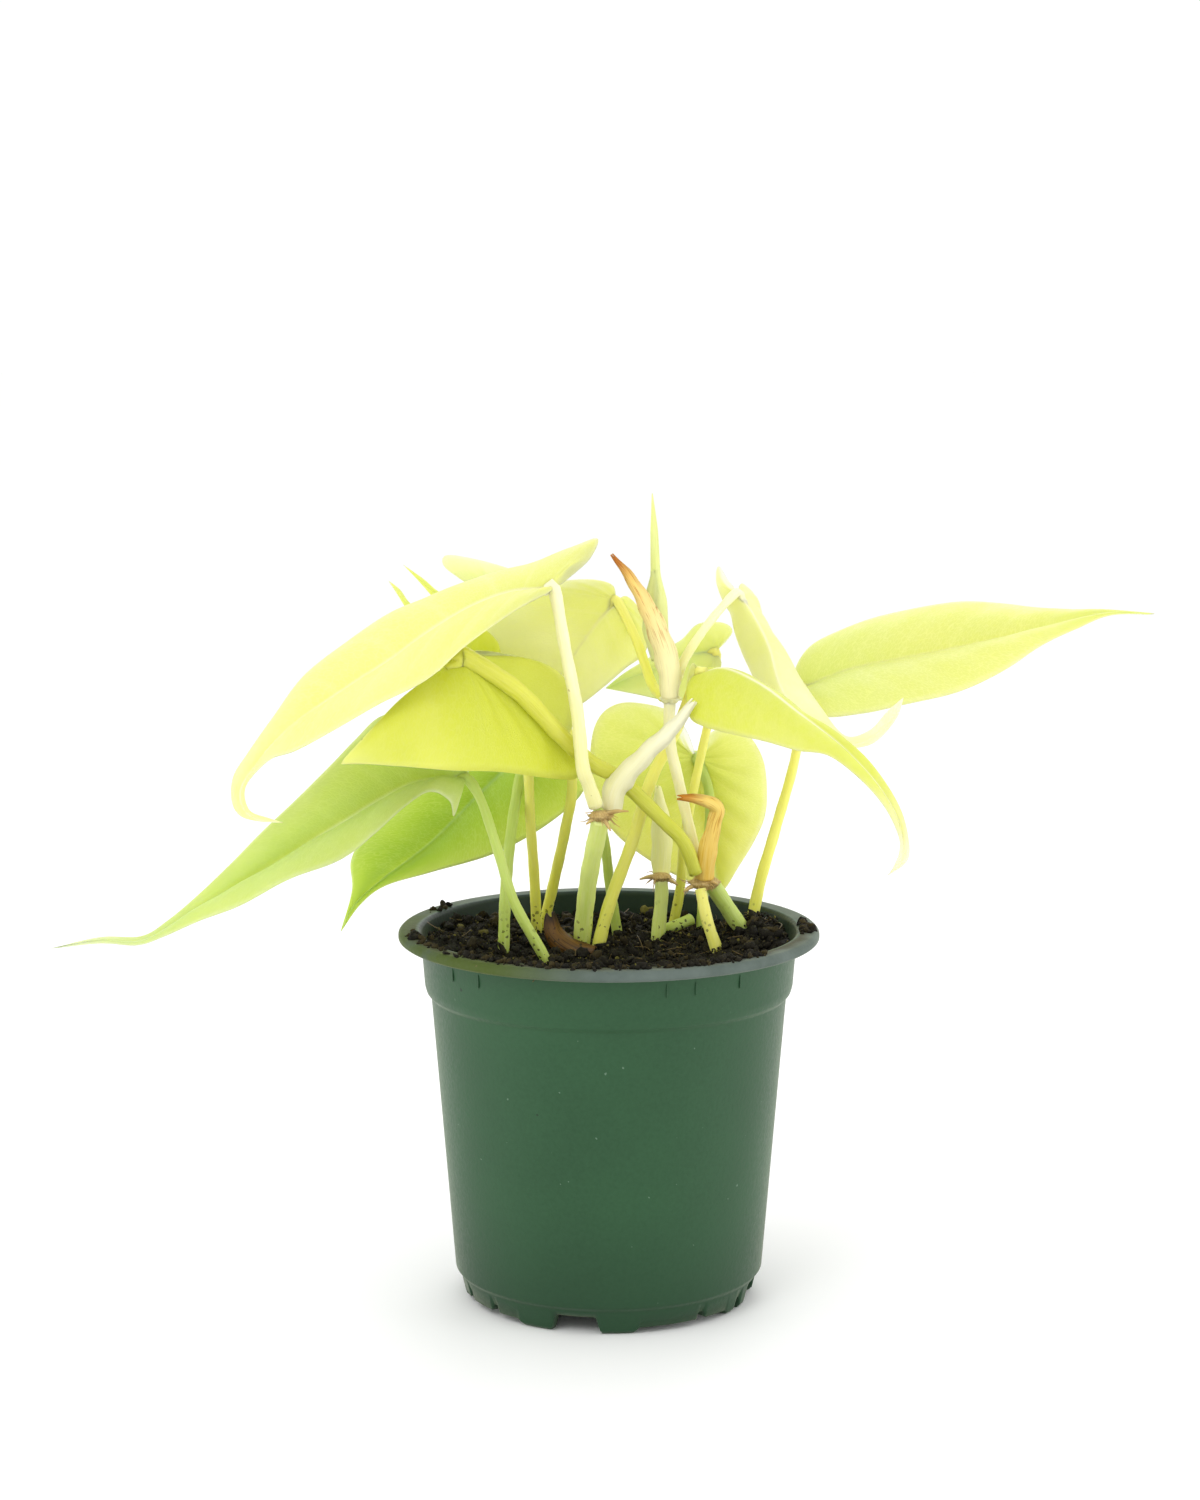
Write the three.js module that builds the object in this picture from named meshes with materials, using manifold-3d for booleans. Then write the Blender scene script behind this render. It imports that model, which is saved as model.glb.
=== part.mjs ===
// Potted gold heartleaf philodendron in a green nursery pot. Millimetres, +Z up.
// The pot's axis is x = 0, y = 0 and its feet stand on z = 0 while the pieces are made;
// at the end the whole plant is moved so that its box stands centred on the origin.
import * as THREE from 'three';
import { mergeVertices } from 'three/addons/utils/BufferGeometryUtils.js';
import Module from 'manifold-3d';

const wasm = await Module();
wasm.setup();

// Pot: heights are above the feet, and the arches, notches and holes let the water out.
const POT_HEIGHT = 101.6;
const RIM_RADIUS = 57;
const RIM_THICKNESS = 3;
const RIM_INNER_RADIUS = 51.6;
const COLLAR_TOP_RADIUS = 50.9;
const COLLAR_BOTTOM_RADIUS = 49.9;
const COLLAR_BOTTOM = 86.4;
const BODY_TOP = 83.5;
const BODY_TOP_RADIUS = 48.2;
const BODY_BOTTOM = 7.9;
const BODY_BOTTOM_RADIUS = 42;
const WALL = 1.4;
const FLOOR_UNDERSIDE = 4.2;
const FLOOR_TOP = 5.8;
const FOOT_RADIUS = 38.4;
const FOOT_WIDTH = 2.2;
const ARCH_WIDTH = 12;
const ARCH_HEIGHT = 4.8;
const FIRST_ARCH = -103;
const FOOT_ANGLE = 24;
const RING_LIFT = 1.8;
const NOTCH_ANGLES = [-159, -140, -52, -29, 21, 40, 128, 151];
const FLOOR_HOLE_RADIUS = 4;
const FLOOR_HOLE_RING = 28;
const POT_SEGMENTS = 36;

// Soil: its level below the rim, how far it is heaped, and how deep the stems stand in it.
const SOIL_LEVEL = 94.5;
const SOIL_HEAP = 1.6;
const SOIL_GAP = 0.35;
const SOIL_RINGS = 5;
const SOIL_SECTORS = 24;
const ROOT_DEPTH = 14;
const ROOT_LEAN = 0.3;

// Gaps between pieces that touch on the living plant.
const SEAT_GAP = 0.3;
const SEAT_SHORTFALL = 0.9;

// Leaf blades: rows run across them from margin to margin, a row pitch apart round the longer
// margin, with a number of cells on each half. A side vein slants from the midrib to the margin.
// STEADY holds a row's directions this far from the two ends, where the margins meet the midrib.
const BLADE_THICKNESS = 0.8;
const BLADE_CELLS = 2;
const ROW_PITCH = 10;
const LEAST_ROWS = 5;
const FIRST_ROW = 0.03;
const LAST_FULL_ROW = 0.98;
const SPINE_SAMPLES = 60;
const VEIN_SLANT = 0.5;
const STEADY = 0.06;
const MOST_BULGE = 0.15;

// Stems and sheaths: sides of their sections and the pitch of the sections along a stem.
const STEM_SIDES = 7;
const STEM_PITCH = 11;
const SHEATH_SIDES = 8;

const FINISHES = {
  pot: { color: 0x3f6c4f, roughness: 0.42, metalness: 0 },
  soil: { color: 0x29231b, roughness: 0.95, metalness: 0 },
  gold: { color: 0xe6ea6a, roughness: 0.4, metalness: 0 },
  lime: { color: 0xc3d944, roughness: 0.4, metalness: 0 },
  green: { color: 0x9cc644, roughness: 0.4, metalness: 0 },
  cream: { color: 0xe9dfae, roughness: 0.45, metalness: 0 },
  stem: { color: 0xb9c24c, roughness: 0.45, metalness: 0 },
  dried: { color: 0xb5712c, roughness: 0.7, metalness: 0 },
};

// Blades. spine runs along the midrib from the petiole's seat to the drip tip. first and second are
// the margins of the two halves, from the seat round the lobe behind it to the tip, and arch is how
// far each half is bulged between midrib and margin.
const BLADES = [
  {
    name: 'leaf_long_left', finish: 'gold', arch: [1.5, 2.5],
    spine: [[-14.5, -15, 195], [-25.5, -18, 194.5], [-36, -22, 191], [-46.5, -26, 185], [-56.5, -30, 178],
      [-67, -33, 171.5], [-77, -36, 165], [-84.5, -38, 159], [-90.5, -39, 152], [-94.5, -40, 146],
      [-94, -40, 141], [-90.5, -40, 138], [-83.5, -40, 137]],
    first: [[-16.5, -20, 194], [-27, -33, 189], [-37, -41, 183], [-46.5, -45, 175], [-57.5, -48, 169],
      [-68, -49, 163], [-79.5, -46, 157], [-86, -43, 154.5], [-90, -41, 151], [-93, -40, 147],
      [-93.5, -40, 143.5], [-92, -40, 140], [-88, -40, 138.5]],
    second: [[-11, -10, 197], [-5, -2, 202], [-3, 3, 207], [-9.5, 6, 204.5], [-21, 4, 199.5],
      [-34.5, -1, 196], [-47.5, -6, 191.5], [-58, -11, 188], [-69, -18, 181.5], [-79.5, -24, 173.5],
      [-87, -31, 163], [-93, -36, 154.5], [-96.5, -39, 149], [-97, -40, 143], [-95, -40, 139],
      [-90.5, -40, 137.5]],
  },
  {
    name: 'leaf_gold_middle', finish: 'gold', arch: [2, 2],
    spine: [[2, 14, 189], [-4, 12.5, 182], [-9, 12, 175], [-14.5, 12, 167], [-19.5, 12, 160],
      [-22.5, 11.5, 155]],
    first: [[5, 15, 190], [9, 16, 185.5], [11, 16, 179], [9.5, 15, 174], [4.5, 13, 170.5],
      [-1.5, 12, 165.5], [-8, 12, 160.5], [-15.5, 11.5, 157]],
    second: [[1, 16, 193], [-5, 17, 194.5], [-13.5, 17, 194], [-22, 16, 192], [-29.5, 15, 187.5],
      [-35.5, 13.5, 180.5], [-37.5, 12.5, 174.5], [-35, 12, 167], [-29.5, 11.5, 160.5]],
  },
  {
    name: 'leaf_front', finish: 'lime', arch: [2.5, 3],
    spine: [[-38, -28, 178.5], [-45.5, -34, 174.5], [-53.5, -40, 169], [-61.5, -46, 161], [-68, -51, 154]],
    first: [[-33.5, -22.5, 174.5], [-24.5, -16.5, 166.5], [-15.5, -11, 157.5], [-9, -6.5, 150.5],
      [-6.5, -6, 146.5], [-9, -9, 143.5], [-17, -19, 145.5], [-28.5, -32, 149], [-40.5, -43, 151],
      [-53, -51, 153.5], [-61.5, -53, 154.5]],
    second: [[-33.5, -21, 178], [-25, -12, 177], [-17, -5, 174], [-11.5, 0, 168.5], [-9.5, 3, 161.5],
      [-10.5, 2, 154.5], [-16.5, -2, 151.5], [-29, -12, 153], [-41.5, -24, 156], [-52.5, -38, 157],
      [-61, -47, 156]],
  },
  {
    name: 'leaf_back_lobe', finish: 'gold', arch: [2, 2],
    spine: [[-28, 28, 189.5], [-20, 30, 187.5], [-12, 32, 184.5], [-5, 33, 180], [-0, 33, 174]],
    first: [[-32, 26, 192], [-39, 24, 193.5], [-45, 22, 197.5], [-44.5, 22, 200.5], [-37.5, 23, 199.5],
      [-30, 25, 197.5], [-21.5, 27, 194.5], [-13, 30, 191.5], [-5, 32, 187.5], [-0.5, 33, 181]],
    second: [[-31, 27, 187], [-35, 27, 181.5], [-34, 27, 174.5], [-27.5, 28, 169], [-17.5, 29, 167],
      [-8, 31, 168.5], [-2.5, 32, 171]],
  },
  {
    name: 'leaf_hidden_upper', finish: 'lime', arch: [1, 1],
    spine: [[-30, 20, 173.5], [-38, 20, 181.5], [-45.5, 19, 189], [-51, 18, 194], [-56, 17, 198.5]],
    first: [[-32.5, 19, 170], [-37.5, 19, 171.5], [-42, 18.5, 177], [-45, 18.5, 183.5],
      [-47.5, 18.5, 188.5], [-51.5, 18, 193.5]],
    second: [[-27, 22, 174], [-26, 23, 179], [-30, 22, 185.5], [-37, 20.5, 188], [-42.5, 19.5, 189.5],
      [-46.5, 18.5, 191], [-50.5, 18, 194.5]],
  },
  {
    name: 'leaf_hidden_lower', finish: 'lime', arch: [1, 1],
    spine: [[-32, 6, 171.5], [-41.5, 5, 178], [-49.5, 4, 184.5], [-54.5, 3, 190], [-59, 2, 195.5]],
    first: [[-35.5, 5, 167.5], [-41.5, 4, 168], [-47.5, 4, 173.5], [-51.5, 3.5, 180], [-53.5, 3, 186],
      [-56.5, 2.5, 191.5]],
    second: [[-29.5, 6.5, 173.5], [-30, 7, 178.5], [-35.5, 6.5, 183.5], [-42, 5.5, 186], [-48, 4.5, 187],
      [-53, 3.5, 189], [-56, 3, 193]],
  },
  {
    name: 'leaf_green_left', finish: 'green', arch: [2, 2],
    spine: [[-38, -12, 144.5], [-52.5, -16, 143], [-70.5, -22, 133.5], [-88.5, -28, 123],
      [-106.5, -34, 113.5], [-120.5, -37, 105.5], [-132, -37, 105.5], [-145.5, -35, 103]],
    first: [[-39, -15, 140.5], [-41, -19, 135], [-42, -21, 139.5], [-47, -24, 142.5], [-53.5, -29, 139.5],
      [-60.5, -34, 134], [-66.5, -37, 129], [-72, -40, 126], [-82, -43, 122.5], [-94, -43, 116.5],
      [-105.5, -41, 112], [-115.5, -39, 107], [-122.5, -38, 104.5], [-132, -38, 105]],
    second: [[-37, -7, 147.5], [-39.5, -4, 152], [-45, -4, 157.5], [-53, -5, 161], [-61, -7, 160],
      [-67.5, -10, 154], [-73.5, -14, 148], [-81.5, -18, 140.5], [-91, -23, 132], [-99, -27, 124],
      [-107.5, -31, 116], [-115, -34, 110], [-121.5, -36, 106.5], [-132, -37, 106.5]],
  },
  {
    name: 'leaf_green_low', finish: 'green', arch: [2, 2],
    spine: [[-22.5, 19, 147.5], [-34, 21, 136.5], [-49, 16, 122], [-62, 8, 113], [-69.5, 4, 106.5],
      [-73, 2, 99.5]],
    first: [[-17.5, 21, 147], [-10.5, 23, 143], [-6.5, 24, 138], [-9, 22, 132.5], [-19, 19, 125],
      [-32.5, 15, 118.5], [-49, 11, 114.5], [-61, 7, 111.5], [-67.5, 4, 107]],
    second: [[-20.5, 22, 150.5], [-24.5, 25, 152.5], [-33, 28, 151.5], [-44, 27, 146], [-57.5, 20, 134.5],
      [-67, 14, 124], [-70.5, 9, 118], [-70, 5, 110.5]],
  },
  {
    name: 'leaf_folded_right', finish: 'gold', arch: [1.5, 1.5],
    spine: [[34.5, 6, 192], [38.5, 6, 186.5], [43, 5, 177.5], [46.5, 3, 166], [54, 1, 157],
      [63.5, 0, 151.5], [70.5, -1, 153.5], [76, -1, 159], [79, -1, 164.5]],
    first: [[36, 9, 194], [40, 14, 189], [42.5, 17, 181.5], [45.5, 18, 176.5], [51, 16, 169.5],
      [57, 11, 160.5], [62, 5, 154.5], [65.5, 1, 153.5], [70.5, -1, 156], [74.5, -1, 160.5]],
    second: [[32, 8, 195], [29.5, 11, 198.5], [29, 14, 194], [31, 16, 188.5], [33, 17, 185],
      [34.5, 18, 179.5], [37.5, 17, 172.5], [42.5, 13, 163.5], [49, 8, 156.5], [57, 3, 152],
      [63.5, 0, 150.5], [71, -1, 152], [77, -1, 158.5]],
  },
  {
    name: 'leaf_drooping_right', finish: 'lime', arch: [2, 2],
    spine: [[24, -3, 171], [30.5, -10, 173.5], [40, -18, 170], [49.5, -26, 163.5], [59.5, -30, 156],
      [68, -32, 147.5], [74, -32, 138.5], [76.5, -31, 130.5], [76, -30, 125], [72.5, -29, 121]],
    first: [[26, 0, 172], [32, 0, 170.5], [38, -4, 167], [45.5, -11, 162], [53.5, -19, 157],
      [62, -25, 155], [69.5, -29, 148.5], [75.5, -31, 139.5], [78, -31, 130.5], [77.5, -30, 125]],
    second: [[22, -5, 174], [20.5, -8, 167.5], [21, -13, 161], [25, -18, 159], [33, -24, 157.5],
      [40.5, -30, 156.5], [48.5, -35, 155], [56.5, -36, 154], [64.5, -35, 148], [71, -34, 140.5],
      [75, -32, 132.5], [75.5, -31, 128], [74, -30, 123.5]],
  },
  {
    name: 'leaf_hanging_back', finish: 'lime', arch: [3, 2],
    spine: [[24.5, 34, 143], [26.5, 40, 130], [29, 42, 116.5], [31, 42, 108], [32, 40, 103]],
    first: [[27, 33, 149], [32.5, 31, 152], [38.5, 30, 150], [43, 31, 142.5], [44.5, 34, 133],
      [44, 36, 125.5], [41, 38, 118], [36.5, 40, 110], [34, 40.5, 105.5]],
    second: [[22, 33, 150], [17.5, 31, 155.5], [11, 30, 158], [3, 30, 158.5], [-2.5, 30, 155],
      [-5, 31, 147], [-4.5, 34, 134], [1, 38, 121.5], [12, 41, 112], [24.5, 41, 105.5]],
  },
  {
    name: 'leaf_far_right', finish: 'gold', arch: [2, 2],
    spine: [[52.5, 30, 162.5], [67, 32, 168], [84, 32, 171.5], [100, 30, 175], [113.5, 27, 178.5],
      [126.5, 23, 182.5], [137.5, 20, 185], [149, 17, 185]],
    first: [[51.5, 34, 166], [55.5, 40, 172], [63, 44, 176.5], [76.5, 48, 181.5], [96.5, 48, 184.5],
      [110, 44, 185], [120.5, 37, 185], [129, 29, 185], [137.5, 22, 185.5]],
    second: [[53, 24, 158.5], [58.5, 18, 157], [67, 14, 158], [76.5, 12, 159.5], [92.5, 11, 163.5],
      [106.5, 13, 170], [117.5, 16, 176], [127.5, 18, 180.5], [137, 18.5, 184.5]],
  },
  {
    name: 'leaf_small_back', finish: 'green', arch: [1, 1],
    spine: [[29.5, 23, 174], [22.5, 24, 173], [13, 25, 169], [4.5, 25, 166], [-1, 25, 163.5]],
    first: [[31, 22, 170.5], [28.5, 21.5, 165], [22.5, 22, 161], [15.5, 23, 160.5], [7.5, 24, 162]],
    second: [[32.5, 23, 177], [34, 23, 180], [31, 23, 182], [24.5, 24, 181.5], [20, 25, 177],
      [14.5, 25.5, 174], [9.5, 25.5, 171], [4, 25.5, 167.5]],
  },
];

// Petioles and canes: points from the foot up, with the radius at the foot and at the top.
// soil marks the ones that go on down into the pot, blade names the leaf that a petiole carries.
const STEMS = [
  {
    name: 'petiole_long_left', blade: 'leaf_long_left', node: 'node_left', finish: 'cream',
    path: [[-3.5, -13.5, 137], [-5.5, -16, 143.5], [-7, -18, 148.5], [-8.5, -18.5, 163.5],
      [-11.5, -17, 179], [-14.5, -15, 195]],
    radius: [1.9, 1.4],
  },
  {
    name: 'petiole_gold_middle', blade: 'leaf_gold_middle', node: 'node_upper', finish: 'stem',
    path: [[14.5, -1, 164.5], [11.5, 5, 167.5], [7.5, 9, 178.5], [2, 14, 189]],
    radius: [1.4, 1.2],
  },
  {
    name: 'petiole_front', blade: 'leaf_front', node: 'node_right', finish: 'stem',
    path: [[23.5, -1, 116.5], [20, -3, 125.5], [13.5, -4, 132.5], [3, -6.5, 143], [-5, -11, 148.5],
      [-13, -16, 156.5], [-24.5, -23, 169.5], [-38, -28, 178.5]],
    radius: [1.9, 2.6],
  },
  {
    name: 'petiole_back_lobe', blade: 'leaf_back_lobe', soil: true, finish: 'stem',
    path: [[-18.5, 26, 94.5], [-15, 22, 110.5], [-12, 17.5, 125], [-10, 17, 139], [-12.5, 18.5, 158.5],
      [-18.5, 21.5, 176], [-28, 28, 189.5]],
    radius: [1.6, 1.3],
  },
  {
    name: 'petiole_hidden_upper', blade: 'leaf_hidden_upper', soil: true, finish: 'stem',
    path: [[-20, 22, 94.5], [-20.5, 18, 111], [-21.5, 12.5, 129], [-22, 12, 142], [-24, 13, 152],
      [-26.5, 15.5, 161.5], [-30, 20, 173.5]],
    radius: [1.5, 1.2],
  },
  {
    name: 'petiole_hidden_lower', blade: 'leaf_hidden_lower', soil: true, finish: 'green',
    path: [[2.5, 21.5, 94.5], [0.5, 20, 108], [-1.5, 14, 124.5], [-5, 8, 139], [-11, 8, 151.5],
      [-20, 8, 162], [-32, 6, 171.5]],
    radius: [1.5, 1.2],
  },
  {
    name: 'petiole_green_left', blade: 'leaf_green_left', soil: true, finish: 'green',
    path: [[-16.5, -14, 94.5], [-25, -16, 111], [-29.5, -16, 125.5], [-34, -13, 138.5], [-38, -12, 144.5]],
    radius: [1.6, 1.2],
  },
  {
    name: 'petiole_green_low', blade: 'leaf_green_low', soil: true, finish: 'green',
    path: [[-28.5, -3.5, 94.5], [-28, -3, 109.5], [-27.5, 0, 117], [-26.5, 7, 127], [-24.5, 16, 139.5],
      [-22.5, 19, 147.5]],
    radius: [1.6, 1.4],
  },
  {
    name: 'petiole_hanging_back', blade: 'leaf_hanging_back', soil: true, finish: 'green',
    path: [[26, 26, 94.5], [26.5, 28, 106.5], [28, 30, 120.5], [28, 31, 134], [24.5, 34, 143]],
    radius: [1.5, 1.3],
  },
  {
    name: 'petiole_small_back', blade: 'leaf_small_back', soil: true, finish: 'stem',
    path: [[18, 30, 94.5], [20, 28, 106.5], [21, 26, 121], [23, 24.5, 132.5], [25.5, 25, 144.5],
      [28.5, 25.5, 159], [29, 25.5, 166.5], [29.5, 23, 174]],
    radius: [1.5, 1.1],
  },
  {
    name: 'petiole_folded_right', blade: 'leaf_folded_right', node: 'node_upper', finish: 'cream',
    path: [[17, -3, 166], [20, 0, 174], [25, 0, 182], [30.5, 3, 188.5], [34.5, 6, 192]],
    radius: [1.4, 1],
  },
  {
    name: 'petiole_drooping_right', blade: 'leaf_drooping_right', soil: true, finish: 'stem',
    path: [[-3, 3, 94.5], [0.5, 2, 108.5], [6.5, 2.5, 125], [11.5, 3.5, 141.5], [18, 4, 154.5],
      [24, -3, 171]],
    radius: [1.8, 1.4],
  },
  {
    name: 'petiole_far_right', blade: 'leaf_far_right', soil: true, finish: 'stem',
    path: [[39, 19, 95.5], [42, 19, 111], [46, 21, 124.5], [52, 26, 146], [52.5, 30, 162.5]],
    radius: [1.8, 1.2],
  },
  {
    name: 'cane_left', node: 'node_left', soil: true, finish: 'green',
    path: [[-7.5, 5.5, 94.5], [-5.5, -3, 115], [-2.2, -12.5, 133.5]],
    radius: [2.5, 2.5],
  },
  {
    name: 'cane_middle', node: 'node_middle', soil: true, finish: 'gold',
    path: [[13.5, 13.5, 94.5], [14.5, 12, 106.5], [14.5, 11, 112.5]],
    radius: [2.1, 1.9],
  },
  {
    name: 'vine_pale_root', node: 'node_right', soil: true, finish: 'stem',
    path: [[29.5, -3.5, 94.5], [26.5, -2.5, 104], [24.8, 0, 112]],
    radius: [1.7, 1.5],
  },
  {
    name: 'vine_lower_joint', node: 'node_right', soil: true, finish: 'green',
    path: [[39, 10.5, 94.5], [33.5, 8, 103.5], [28, 4.5, 112.5]],
    radius: [2.3, 2.3],
  },
  {
    name: 'vine_upper_joint', node: 'node_upper', lowerNode: 'node_right', finish: 'cream',
    path: [[26, 3, 113.5], [22.5, 2, 125.5], [19, 0, 140.5], [16.3, -3, 153], [16.2, -4.5, 164]],
    radius: [1.5, 1.6],
  },
];

// Joints of the vine, each a swollen ring with the dried stubs of its roots: centre, half sizes
// and the directions and lengths of the root stubs.
const NODES = [
  {
    name: 'node_left', centre: [-2.2, -12.8, 134.2], size: [3.1, 2.8, 1.5],
    roots: [[[-0.9, -0.5, -0.3], 4.6], [[0.9, -0.4, 0.35], 8.5], [[0.5, -0.8, -0.5], 5.5]],
  },
  {
    name: 'node_middle', centre: [14.3, 11, 113.2], size: [2.6, 2.5, 1.3],
    roots: [[[-1, -0.2, 0.05], 6], [[1, -0.3, -0.3], 5]],
  },
  {
    name: 'node_right', centre: [26, 2.8, 113.2], size: [3.9, 3.4, 1.9],
    roots: [[[-0.9, -0.4, -0.2], 6.5], [[0.6, -0.8, 0.2], 5.5], [[-0.2, -0.7, -0.8], 5]],
  },
  { name: 'node_upper', centre: [16.3, -4.5, 164.6], size: [2.6, 2.4, 1.5], roots: [] },
];

// Sheath leaves, flat tapering wraps that the vine's joints grow out of: points from the base to
// the tip, half widths at those points, and the side that the flat of the wrap faces.
const SHEATHS = [
  {
    name: 'sheath_cream', finish: 'cream', thickness: 1.2, face: [0.1, -1, 0.3], node: 'node_left',
    path: [[0.5, -11, 134.8], [2.5, -12.5, 142.5], [10, -14.5, 151.5], [16.5, -16, 158], [22, -16.5, 165]],
    halfWidths: [3, 3.6, 2.9, 2.7, 1],
  },
  {
    name: 'sheath_pale', finish: 'cream', thickness: 2.4, face: [0, -1, 0], node: 'node_middle',
    path: [[14.3, 11, 113.5], [14.5, 11, 119], [14.5, 11, 125], [14, 11, 132], [13.5, 11, 138]],
    halfWidths: [2.6, 3.4, 3.3, 2.4, 0.8],
  },
  {
    name: 'sheath_orange', finish: 'dried', thickness: 1.2, face: [0.3, -1, 0.1], node: 'node_right',
    path: [[26.5, -0.5, 114.2], [27.2, -2.5, 122], [28.6, -3.5, 130], [29.6, -4.5, 134.5], [26, -6, 137.2],
      [19, -8, 138.5]],
    halfWidths: [3, 3, 1.9, 1.7, 1.4, 0.8],
  },
  {
    name: 'sheath_brown', finish: 'dried', thickness: 1.6, face: [0, -1, 0.1], node: 'node_upper',
    path: [[16.3, -7.8, 164.8], [15.5, -8.5, 175], [11.5, -8, 186.5], [6, -7, 196.5], [1, -6.5, 203]],
    halfWidths: [2.6, 4.2, 3.2, 1.9, 0.7],
  },
];

// Rolled new leaf, still closed into a spear above its unrolling base.
const SPEAR_PATH = [[16.2, -2.5, 165.5], [15.5, 1, 169], [13.8, 3, 179], [12.8, 3.5, 190], [12.4, 3.5, 197],
  [12, 3, 209], [11.5, 2, 219]];
const SPEAR_RADII = [1.3, 1.6, 3.1, 3, 1.4, 1.1, 0.2];

// Dried bits that lie on the soil.
const LITTER = [
  {
    name: 'dried_bract', thickness: 1.2, face: [0.3, -0.9, 0.5], finish: 'dried',
    path: [[-4, -5, 96.3], [-9, -3.5, 97], [-14, 0, 100], [-15.5, 2.5, 104.5]],
    halfWidths: [1.2, 2.4, 2.2, 0.8],
  },
  {
    name: 'cut_stub', thickness: 3.4, face: [0, 0, 1], finish: 'green',
    path: [[15.7, 20, 96.4], [19.5, 23, 97.4], [23, 25.5, 98.4]],
    halfWidths: [1.7, 1.9, 1.8],
  },
];

const vector = (place) => new THREE.Vector3(...place);
const radians = THREE.MathUtils.degToRad;

// A closed body from rows of points of equal length. A row may shrink to one place.
// With strip ends each end row is a flat loop closed edge to edge, else it is closed to its middle.
function bodyFromRows(rows, stripEnds) {
  const positions = [];
  const faces = [];
  const numbers = new Map();
  const number = (point) => {
    const key = point.toArray().map((value) => Math.round(value * 2000)).join(' ');
    if (!numbers.has(key)) {
      numbers.set(key, positions.length / 3);
      positions.push(point.x, point.y, point.z);
    }
    return numbers.get(key);
  };
  const addFace = (a, b, c) => {
    if (a !== b && b !== c && c !== a) {
      faces.push(a, b, c);
    }
  };
  const loops = rows.map((row) => row.map(number));
  const count = loops[0].length;
  for (let i = 0; i + 1 < loops.length; i += 1) {
    for (let j = 0; j < count; j += 1) {
      const next = (j + 1) % count;
      addFace(loops[i][j], loops[i][next], loops[i + 1][next]);
      addFace(loops[i][j], loops[i + 1][next], loops[i + 1][j]);
    }
  }
  [0, loops.length - 1].forEach((end) => {
    const loop = end === 0 ? [...loops[end]].reverse() : loops[end];
    if (stripEnds) {
      for (let j = 0; j + 1 < count / 2; j += 1) {
        addFace(loop[j], loop[j + 1], loop[count - 2 - j]);
        addFace(loop[j], loop[count - 2 - j], loop[count - 1 - j]);
      }
      return;
    }
    const middle = rows[end].reduce((sum, point) => sum.add(point), new THREE.Vector3());
    const hub = number(middle.divideScalar(count));
    loop.forEach((start, j) => addFace(start, loop[(j + 1) % count], hub));
  });
  const geometry = new THREE.BufferGeometry();
  geometry.setAttribute('position', new THREE.Float32BufferAttribute(positions, 3));
  geometry.setIndex(faces);
  return facingOut(geometry);
}

function signedVolume(geometry) {
  const position = geometry.getAttribute('position');
  const [a, b, c] = [new THREE.Vector3(), new THREE.Vector3(), new THREE.Vector3()];
  let volume = 0;
  for (let i = 0; i < geometry.index.count; i += 3) {
    a.fromBufferAttribute(position, geometry.index.getX(i));
    b.fromBufferAttribute(position, geometry.index.getX(i + 1));
    c.fromBufferAttribute(position, geometry.index.getX(i + 2));
    volume += a.dot(b.cross(c)) / 6;
  }
  return volume;
}

function facingOut(geometry) {
  if (signedVolume(geometry) < 0) {
    const turned = Array.from(geometry.index.array).reverse();
    geometry.setIndex(turned);
  }
  return geometry;
}

function toSolid(geometry) {
  const bare = geometry.clone();
  bare.deleteAttribute('normal');
  bare.deleteAttribute('uv');
  const merged = mergeVertices(bare, 1e-4);
  return new wasm.Manifold(new wasm.Mesh({
    numProp: 3,
    vertProperties: new Float32Array(merged.getAttribute('position').array),
    triVerts: new Uint32Array(merged.index.array),
  }));
}

function fromSolid(solid) {
  const mesh = solid.getMesh();
  const geometry = new THREE.BufferGeometry();
  geometry.setAttribute('position', new THREE.Float32BufferAttribute(mesh.vertProperties, 3));
  geometry.setIndex(Array.from(mesh.triVerts));
  return geometry;
}

// The first body less all the others; of the bits that are left, the largest is kept.
function cutAway(geometry, tools) {
  const left = tools.reduce((solid, tool) => solid.subtract(toSolid(tool)), toSolid(geometry));
  const bits = left.decompose().sort((one, other) => other.volume() - one.volume());
  return fromSolid(bits[0]);
}

const smoothPath = (points) => new THREE.CatmullRomCurve3(points.map(vector), false, 'catmullrom', 0.5);

// The value of an evenly spaced list at a share of its length.
function valueAlong(list, share) {
  const place = THREE.MathUtils.clamp(share, 0, 1) * (list.length - 1);
  const first = Math.min(Math.floor(place), list.length - 1);
  const second = Math.min(first + 1, list.length - 1);
  return THREE.MathUtils.lerp(list[first], list[second], place - first);
}

// The share of a curve's length at its nearest place to a point.
function nearestShare(curve, point) {
  const places = Array.from({ length: SPINE_SAMPLES + 1 }, (_, i) => i / SPINE_SAMPLES);
  const distances = places.map((share) => curve.getPointAt(share).distanceTo(point));
  return places[distances.indexOf(Math.min(...distances))];
}

// Where the side vein to a place on the margin leaves the midrib: nearer the seat than that place.
function veinStart(blade, half, share) {
  const margin = blade.margins[half].getPointAt(share);
  const nearest = nearestShare(blade.curve, margin);
  const reach = blade.curve.getPointAt(nearest).distanceTo(margin);
  return Math.max(0, nearest - (VEIN_SLANT * reach) / blade.length);
}

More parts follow.
